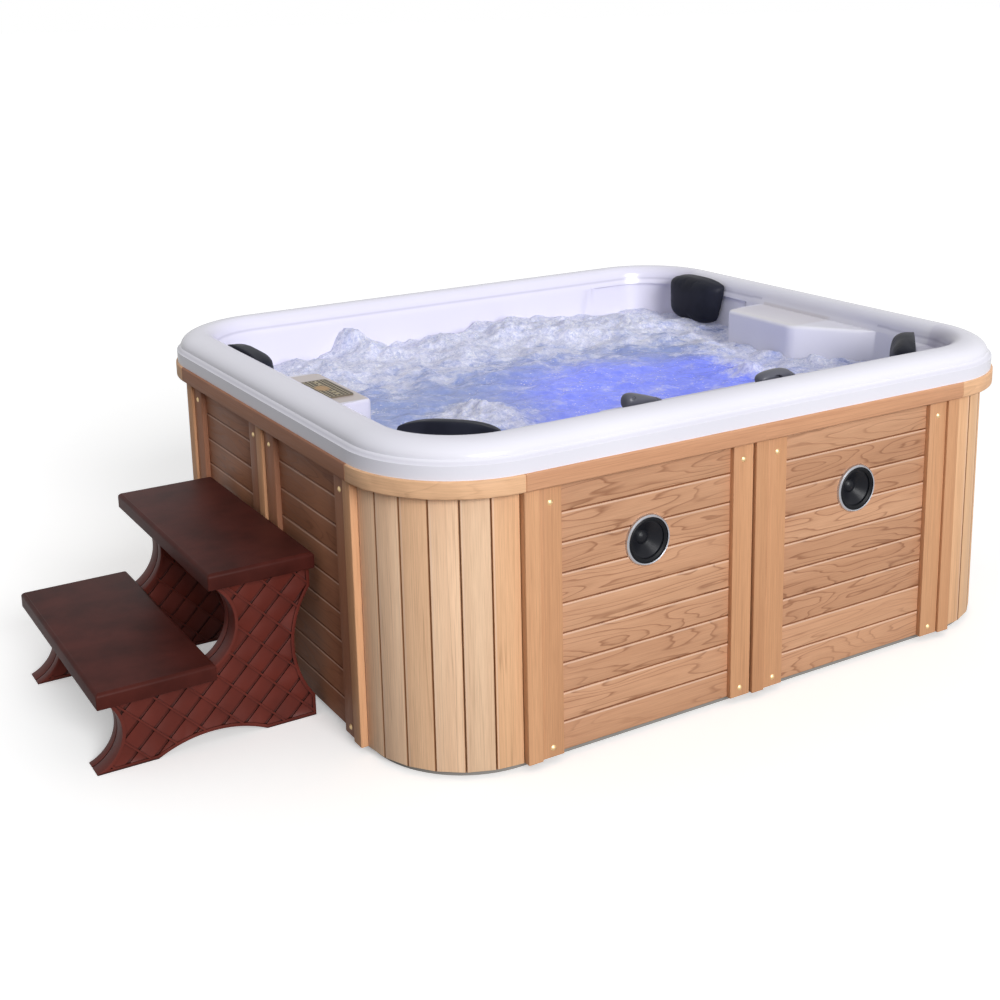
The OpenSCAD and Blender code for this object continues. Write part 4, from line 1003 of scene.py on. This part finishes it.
class MakePillows(bpy.types.Operator):
    """Four head pillows, swollen by a cloth simulation and set against the wall"""
    bl_idname = "tub.make_pillows"
    bl_label = "Pillows"

    def execute(self, context):
        skin = foam_skin()
        for node, outward in PILLOWS:
            pad = copied(node, node)
            weld(pad, 0.0001)
            low, high = box_of(node)
            middle = (low + high) / 2
            direction = Vector((*outward, 0.0))
            for vertex in pad.data.vertices:
                # Slightly smaller than its place before it swells
                vertex.co = middle + (vertex.co - middle) * 0.975 + direction * 0.0004
            plump(pad, direction)
            press_back(pad, direction, low, high)
            shade(pad, 60)
            finish_piece(pad, node.replace("pillow", "head_pillow"), skin, replaced=[node])
        return {"FINISHED"}


# Stool

TREAD_EDGE = 0.003
SIDE_EDGE = 0.0012
GROOVE_REACH = 0.012


class DressStool(bpy.types.Operator):
    """Two-step stool in dark red-brown moulded plastic, with rounded treads and lattice sides"""
    bl_idname = "tub.dress_stool"
    bl_label = "Stool"

    def execute(self, context):
        # Nearly matt, with broad uneven patches where feet have dulled it
        tread = moulded("moulded polypropylene, treads", colour("stool"), 0.45, 1.6, 0.3, 0.0004, 0.30,
                        Specular_IOR_Level=0.08)
        # A little redder and glossier, with painted shade in the grooves that draws the lattice
        sides = moulded("moulded polypropylene, lattice", colour("lattice"), 0.42, 1.6, 0.25, 0.0004, 0.16,
                        Specular_IOR_Level=0.2)
        paint_groove_shade(sides, GROOVE_REACH, srgb("#2A100C"))
        for level in ("upper", "lower"):
            softened("step_%s_tread" % level, level + "_tread", tread, "steps",
                     TREAD_EDGE, 3)
        for end in ("near", "far"):
            softened("step_side_" + end, end + "_side", sides, "steps", SIDE_EDGE)
        return {"FINISHED"}


# Fittings and equipment

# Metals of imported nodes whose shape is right: name, colour, roughness and nodes
METALS = (
    # A warm soft gleam on each cap's dome
    ("brass caps, brushed and lacquered", "#F2D6A4", 0.42, ("screw_caps",)),
    # A thin bright ring round each dark cone
    ("chromed speaker ring", "#C9CBD2", 0.2, ("speaker_bezels",)),
    # A long cool gleam along shaft and tube
    ("turned stainless steel", "#C2C4C6", 0.28, ("pump_rotor", "heater_tube")))
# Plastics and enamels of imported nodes: name, colour, roughness, other settings and nodes
PLASTICS = (
    # Dull black that recedes behind the cone
    ("moulded ABS, speaker basket", "#17181C", 0.45, {"Specular_IOR_Level": 0.15}, ("speaker_baskets",)),
    # Blue-black with a soft sheen that shows the cone's dish
    ("polypropylene cone", "#191A20", 0.34, {"grain_mm": 0.8, "strength": 0.2, "Specular_IOR_Level": 0.22},
     ("speaker_cone_left", "speaker_cone_right")),
    # Olive brown surround of the pad, and sand-coloured keys that stand out from its film
    ("moulded ABS, pad frame", "#6E6455", 0.45, {"Specular_IOR_Level": 0.3}, ("control_panel",)),
    ("moulded ABS, keys", "#A69A80", 0.4, {"Specular_IOR_Level": 0.3},
     ("key_jets", "key_light", "key_warmer", "key_cooler")),
    # Grey line under the boards, waxy and dull
    ("moulded polyethylene pan", "#8F8B86", 0.55, {}, ("base_pan",)),
    # Clean white fittings with a smooth sheen, and greyer turning faces on the jets
    ("white ABS fittings", "#E9EAEC", 0.3, {"grain_mm": 1.0, "strength": 0.05},
     ("jet_bodies", "small_jets", "suction_covers", "filter_canister", "filter_grille", "valve_bodies")),
    ("grey ABS jet faces", "#8D9299", 0.28, {"grain_mm": 1.0, "strength": 0.05},
     ("jet_face_left", "jet_face_front_left", "jet_face_front_right", "jet_face_right")),
    # Faintly blue and glossy, half clear
    ("clear polycarbonate lens", "#DDE6F5", 0.08,
     {"grain_mm": 1.0, "strength": 0.02, "Transmission_Weight": 0.4, "IOR": 1.585}, ("light_lens",)),
    # Dark small parts at the back that read as openings in the boards
    ("grey ABS drain", "#4A4F55", 0.4, {}, ("drain_valve", "drain_ring")),
    ("black nylon gland", "#1B1C1E", 0.5, {}, ("power_gland",)),
    # Blue-grey enamel, black housing and pale grey enamel that tell the equipment apart
    ("enamelled motor", "#33404A", 0.35, {}, ("pump_motor",)),
    ("black pump housing", "#1E2023", 0.4, {}, ("pump_wet_end",)),
    ("grey enamelled box", "#8B9096", 0.4, {}, ("control_box",)),
    # Soft white pleats, and smooth white pipe
    ("pleated polyester", "#DDE2EA", 0.85, {"grain_mm": 2.0, "strength": 0.4}, ("filter_cartridge",)),
    ("white PVC pipe", "#DFE1E4", 0.32, {}, ("suction_pipe", "pressure_pipe")))


def paint(material, nodes):
    """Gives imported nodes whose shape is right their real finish."""
    for name in nodes:
        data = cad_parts[name].data
        data.materials.clear()
        data.materials.append(material)


class DressFittings(bpy.types.Operator):
    """Finishes for the caps, speakers, jets, drains and the equipment inside the cabinet"""
    bl_idname = "tub.dress_fittings"
    bl_label = "Fittings"

    def execute(self, context):
        for name, code, roughness, nodes in METALS:
            paint(turned_metal(name, srgb(code), roughness), nodes)
        for name, code, roughness, settings, nodes in PLASTICS:
            paint(moulded(name, srgb(code), roughness, **settings), nodes)
        paint(printed_film(), ("control_overlay",))
        # Pale plain softwood of the frame, its grain running up
        pine = cedar("planed spruce", "z", upright_number(POST_STEP), "cedar_slat", 0.5, 0.4)
        paint(pine, ("frame_bottom_rail", "frame_posts", "frame_top_rail"))
        return {"FINISHED"}


# Water

# Places where the lamp under the water shows, each with its spread
GLOW = ((-0.04, -0.32, 0.27), (0.08, -0.06, 0.24), (0.32, -0.25, 0.27), (0.50, -0.14, 0.14),
        (-0.28, -0.50, 0.14))
# Places where water boils up over jets: how wide and how high
BOILS = ((-0.43, 0.80, 0.055, 0.066), (-0.41, 0.70, 0.085, 0.040), (-0.62, 0.60, 0.10, 0.030),
         (-0.14, 0.70, 0.14, 0.030), (0.16, 0.68, 0.16, 0.042), (0.40, 0.62, 0.15, 0.044),
         (0.62, 0.52, 0.12, 0.026),
         (-0.47, -0.15, 0.075, 0.048), (-0.46, -0.29, 0.085, 0.034), (-0.60, -0.30, 0.060, 0.020),
         (0.54, -0.26, 0.050, 0.044), (0.60, -0.34, 0.09, 0.022), (0.79, -0.30, 0.06, 0.030),
         (0.72, 0.26, 0.10, 0.016))
# Size of the surface's cells, and where its closed skin stands off the wall and ends below the surface
WATER_CELL = 0.0068
WALL_GAP = 0.001
WATER_FOOT = 0.640
WATER_FOOT_SHARE = 0.985


def bell(x, y, centre_x, centre_y, spread):
    return math.exp(-((x - centre_x) ** 2 + (y - centre_y) ** 2) / (spread * spread))


def glow_at(x, y):
    return min(1.0, sum(bell(x, y, *place) for place in GLOW))


def foam_at(x, y):
    """How much of the surface is foam: most along the back and over the jets, least over the lamp."""
    back = smoothstep(0.02, 0.60, y)
    boils = sum(bell(x, y, px, py, 1.25 * spread) * height / 0.04 for px, py, spread, height in BOILS)
    right = 0.75 * smoothstep(0.42, 0.72, x)
    return min(1.0, max(back * (1 - 0.55 * glow_at(x, y)), right, boils))


def rough(x, y, scale, seed, octaves, hard):
    place = Vector((x * scale, y * scale, seed))
    return noise.turbulence(place, octaves, hard, noise_basis="PERLIN_ORIGINAL")


def water_height(x, y):
    """The foaming surface: long swells, round billows, short chop, fine froth and domes over the jets."""
    foam = foam_at(x, y)
    back = smoothstep(0.25, 0.70, y)
    swell = noise.fractal(Vector((x * 3.0, y * 3.0, 0.7)), 1.0, 2.0, 3)
    billow = rough(x, y, 7.0, 1.9, 2, False)
    chop = rough(x, y, 17.0, 3.1, 3, False)
    froth = rough(x, y, 55.0, 8.3, 3, True)
    lift = noise.fractal(Vector((x * 26.0, y * 26.0, 5.0)), 0.7, 2.1, 4)
    boils = sum(height * bell(x, y, px, py, spread) for px, py, spread, height in BOILS)
    return (size("water_level") + 0.005 * swell + (0.006 + 0.024 * foam) * (billow - 0.35)
            + (0.006 + 0.003 * foam) * (chop - 0.5) + (0.0015 + 0.0020 * foam) * (froth - 0.5)
            + 0.012 * back + boils * (0.95 + 0.30 * lift))


def water_material():
    """Foaming water lit blue-violet from below: glossy, cloudy with bubbles, white in thick foam."""
    material, tree, principled, coordinates = new_material(
        "aerated water", Base_Color=colour("water_glow"), Roughness=0.16, IOR=1.333, Subsurface_Weight=0.5,
        Subsurface_Radius=(0.016, 0.018, 0.026), Subsurface_Scale=1.0, Emission_Strength=0.22)
    glow, foam = marked(tree, "glow"), marked(tree, "foam")
    cloud = clouds(tree, coordinates, 13.0, 7.0, 0.66, 0.4)
    streaks = clouds(tree, coordinates, 70.0, 6.0, 0.72, 1.0)
    # Painted light: the water's colour turns to the lit blue where the lamp shows
    deep = mix_colours(tree, glow, colour("water_deep"), colour("water_glow"))
    uneven = ramp(tree, cloud, (0.30, (0.84, 0.86, 0.93, 1)), (0.52, 1.0), (0.72, (1.14, 1.12, 1.04, 1)))
    deep = mix_colours(tree, 1.0, deep, uneven, "MULTIPLY")
    froth = ramp(tree, streaks, (0.30, srgb("#ABB1C8")), (0.48, colour("water_froth")),
                 (0.68, srgb("#F6F5FA")))
    wisps = maths(tree, "MULTIPLY", maths(tree, "SUBTRACT", cloud, 0.46), 2.6)
    foaming = maths(tree, "ADD", foam, wisps)
    thick = ramp(tree, foaming, (0.25, 0.0), (0.85, 0.9))
    body = mix_colours(tree, thick, deep, froth)
    # Fine ripples and torn foam all over
    torn = ramp(tree, streaks, (0.36, (0.80, 0.83, 0.92, 1)), (0.52, (0.93, 0.94, 0.98, 1)), (0.70, 1.0))
    body = mix_colours(tree, 0.8, body, torn, "MULTIPLY")
    body = mix_colours(tree, ramp(tree, streaks, (0.60, 0.0), (0.74, 0.65)), body, srgb("#E6E8FF"))
    # Bubbles and painted sparkles of light drawn 4 mm across, coarser than real ones, so that they show
    bubbles = add_node(tree, "ShaderNodeTexVoronoi", {"Vector": coordinates, "Scale": 95.0})
    fleck = ramp(tree, bubbles.outputs["Distance"], (0.17, 1.0), (0.25, 0.0))
    chance = ramp(tree, clouds(tree, coordinates, 21.0, 3.0), (0.53, 0.0), (0.60, 1.0))
    body = mix_colours(tree, maths(tree, "MULTIPLY", fleck, chance), body, srgb("#FBFBFF"))
    # Painted glow: the water emits blue light where the lamp shows, and thick froth emits a soft grey light
    shine = mix_colours(tree, glow, srgb("#000000"), srgb("#5468FF"))
    shine = mix_colours(tree, maths(tree, "MULTIPLY", thick, 0.6), shine, srgb("#A9ACCB"))
    feed(tree, principled, {"Base Color": body, "Roughness": ramp(tree, foaming, (0.2, 0.10), (0.9, 0.42)),
                            "Emission Color": shine})
    bump(tree, principled, streaks, 0.5, 0.004)
    return material


def on_wall(column, z):
    return column.at(face_distance(column, z) - WALL_GAP, z)


def encloses(edges, point):
    """Whether a closed outline goes round a point: a line towards +X crosses it an odd number of times."""
    x, y = point.x, point.y
    return sum(1 for a, b in edges if (a.y > y) != (b.y > y)
               and x < a.x + (b.x - a.x) * (y - a.y) / (b.y - a.y)) % 2 == 1


def nearest_wall(columns, edges, point):
    """The place on the basin wall, at the height of the water there, that is nearest to a point."""
    nearest = min(range(len(edges)), key=lambda i: (edges[i][0].xy - point.xy).length_squared)
    choices = []
    for i in (nearest - 1, nearest):
        a, b = edges[i]
        along = (b - a).xy
        t = min(1.0, max(0.0, (point.xy - a.xy).dot(along) / max(1e-12, along.length_squared)))
        choices.append(((a.lerp(b, t).xy - point.xy).length, i, t))
    i, t = min(choices, key=lambda choice: choice[0])[1:]
    z = water_height(point.x, point.y)
    return on_wall(columns[i], z).lerp(on_wall(columns[(i + 1) % len(columns)], z), t)


class FillWater(bpy.types.Operator):
    """Fills the basin with foaming water, as a closed piece that follows the basin wall"""
    bl_idname = "tub.fill_water"
    bl_label = "Water"

    def execute(self, context):
        level = size("water_level")
        columns = rim_columns()
        outline = [on_wall(column, level) for column in columns]
        edges = list(zip(outline, outline[1:] + outline[:1]))
        xs, ys = [p.x for p in outline], [p.y for p in outline]
        reach_x, reach_y = max(xs) - min(xs), max(ys) - min(ys)
        cell = WATER_CELL
        deselect()
        bpy.ops.mesh.primitive_grid_add(
            x_subdivisions=round(reach_x / cell), y_subdivisions=round(reach_y / cell), size=1.0,
            location=((max(xs) + min(xs)) / 2, (max(ys) + min(ys)) / 2, level))
        water = context.object
        water.scale = (reach_x, reach_y, 1.0)
        settle(water)
        mesh = bmesh.new()
        mesh.from_mesh(water.data)
        outside = [v for v in mesh.verts if not encloses(edges, v.co)]
        bmesh.ops.delete(mesh, geom=outside, context="VERTS")
        border = {v for e in mesh.edges if e.is_boundary for v in e.verts}
        for vertex in mesh.verts:
            if vertex in border:
                vertex.co = nearest_wall(columns, edges, vertex.co)
            else:
                vertex.co.z = water_height(vertex.co.x, vertex.co.y)
        # The sides go down and a little in, and one face closes them below
        rim = [e for e in mesh.edges if e.is_boundary]
        walls = bmesh.ops.extrude_edge_only(mesh, edges=rim)["geom"]
        for vertex in (g for g in walls if isinstance(g, bmesh.types.BMVert)):
            vertex.co.x *= WATER_FOOT_SHARE
            vertex.co.y *= WATER_FOOT_SHARE
            vertex.co.z = WATER_FOOT
        bmesh.ops.contextual_create(mesh, geom=[g for g in walls if isinstance(g, bmesh.types.BMEdge)])
        bmesh.ops.recalc_face_normals(mesh, faces=mesh.faces)
        mesh.to_mesh(water.data)
        mesh.free()
        for name, rule in (("glow", glow_at), ("foam", foam_at)):
            mark(water, name, [rule(v.co.x, v.co.y) for v in water.data.vertices])
        shade(water, 70)
        finish_piece(water, "water", water_material())
        return {"FINISHED"}


# Stage

AMBIENT_LOW = 0.26
AMBIENT_HIGH = 0.58
KEY_STRENGTH = 2.5
KEY_FROM = (-0.05, -0.93, 0.35)
KEY_ANGLE = 28
LENS_MM = 52.084
# The photograph was framed low, which keeps its uprights nearly parallel
LENS_RISE = -0.15
CAMERA_PLACE = (-2.5327, -3.8243, 1.9188)
CAMERA_TURN = (30.645, 13.263, 1.249)


def lens_view(location, yaw, pitch, roll):
    """A camera's place and turn from degrees: yaw from +Y towards +X, pitch downward, roll clockwise."""
    yaw, pitch, roll = (math.radians(a) for a in (yaw, pitch, roll))
    forward = Vector((math.sin(yaw) * math.cos(pitch), math.cos(yaw) * math.cos(pitch), -math.sin(pitch)))
    right = Vector((math.cos(yaw), -math.sin(yaw), 0.0))
    down = forward.cross(right)
    turned_right = math.cos(roll) * right + math.sin(roll) * down
    turned_down = -math.sin(roll) * right + math.cos(roll) * down
    turn = Matrix((turned_right, -turned_down, -forward)).transposed().to_4x4()
    return Matrix.Translation(location) @ turn


def seen_rays(tree):
    """1 for rays that show a surface to the eye, less in a gloss, and 0 for light that bounces."""
    path = add_node(tree, "ShaderNodeLightPath").outputs
    glossy = maths(tree, "MULTIPLY", path["Is Glossy Ray"], 0.6)
    return maths(tree, "MAXIMUM", path["Is Camera Ray"], glossy, path["Is Transmission Ray"])


def matt_floor():
    """Matt white floor: it shows white to the eye, and keeps the tub's shadow."""
    material, tree, principled = new_material(
        "matt white floor", Roughness=0.9, Specular_IOR_Level=0.0, Emission_Color=grey(1.0))[:3]
    seen = seen_rays(tree)
    feed(tree, principled, {"Base Color": mix_colours(tree, seen, srgb("#6A6A6C"), srgb("#FDFDFD")),
                            "Emission Strength": maths(tree, "MULTIPLY", seen, 0.32)})
    return material


def soft_air(world):
    """Light from the ceiling, with little coming in low, and least of it low from the left."""
    world.use_nodes = True
    tree = world.node_tree
    places = axes(tree, add_node(tree, "ShaderNodeTexCoord").outputs["Object"])
    level = ramp(tree, places[2], (0.0, AMBIENT_LOW), (0.75, AMBIENT_HIGH))
    low = ramp(tree, places[2], (0.0, 1.0), (0.8, 0.0))
    from_left = maths(tree, "MAXIMUM", maths(tree, "MULTIPLY", places[0], -1.0), 0.0)
    shaded = maths(tree, "SUBTRACT", 1.0, maths(tree, "MULTIPLY", from_left, low, 0.9))
    level = maths(tree, "MULTIPLY", level, shaded)
    feed(tree, tree.nodes["Background"], {"Color": mix_colours(tree, seen_rays(tree), level, grey(1.0)),
                                          "Strength": 1.0})


class SetStage(bpy.types.Operator):
    """Pale floor, soft light from the ceiling and the front, and a camera at the photograph's angle"""
    bl_idname = "tub.set_stage"
    bl_label = "Stage"

    def execute(self, context):
        scene = context.scene
        deselect()
        bpy.ops.mesh.primitive_plane_add(size=400.0, location=(0, 0, -0.0005))
        floor = context.object
        floor.name = "studio_floor"
        floor.data.materials.append(matt_floor())

        scene.world = bpy.data.worlds.new("studio")
        soft_air(scene.world)
        lamp = bpy.data.lights.new("key", "SUN")
        lamp.energy = KEY_STRENGTH
        lamp.angle = math.radians(KEY_ANGLE)
        new_piece("key", lamp).rotation_euler = Vector(KEY_FROM).to_track_quat("Z", "Y").to_euler()

        lens = bpy.data.cameras.new("lens")
        lens.sensor_width = 36.0
        lens.lens = LENS_MM
        lens.shift_y = LENS_RISE
        camera = new_piece("camera", lens)
        camera.matrix_world = lens_view(Vector(CAMERA_PLACE), *CAMERA_TURN)
        scene.camera = camera
        scene.view_settings.view_transform = "Standard"
        return {"FINISHED"}


# Add-on

STEPS = (SetStage, DressCladding, MakeShell, MakePillows, MakeHandles, DressStool, DressFittings, FillWater)


class TubPanel(bpy.types.Panel):
    """Sizes, colours and the steps that build the tub, in order"""
    bl_idname = "TUB_PT_build"
    bl_label = "Hot tub"
    bl_space_type = "VIEW_3D"
    bl_region_type = "UI"
    bl_category = "Hot tub"

    def draw(self, context):
        for group in (context.scene.tub_sizes, context.scene.tub_colours):
            box = self.layout.box()
            for name in group.__annotations__:
                box.prop(group, name)
        for step in STEPS:
            self.layout.operator(step.bl_idname)


CLASSES = (TubSizes, TubColours) + STEPS + (TubPanel,)


def register():
    for kind in CLASSES:
        bpy.utils.register_class(kind)
    bpy.types.Scene.tub_sizes = bpy.props.PointerProperty(type=TubSizes)
    bpy.types.Scene.tub_colours = bpy.props.PointerProperty(type=TubColours)


def unregister():
    del bpy.types.Scene.tub_colours
    del bpy.types.Scene.tub_sizes
    for kind in reversed(CLASSES):
        bpy.utils.unregister_class(kind)


def main():
    register()
    bpy.ops.tub.set_stage()
    bpy.ops.tub.dress_cladding()
    bpy.ops.tub.make_shell()
    bpy.ops.tub.make_pillows()
    bpy.ops.tub.make_handles()
    bpy.ops.tub.dress_stool()
    bpy.ops.tub.dress_fittings()
    bpy.ops.tub.fill_water()


if __name__ == "__main__":
    main()
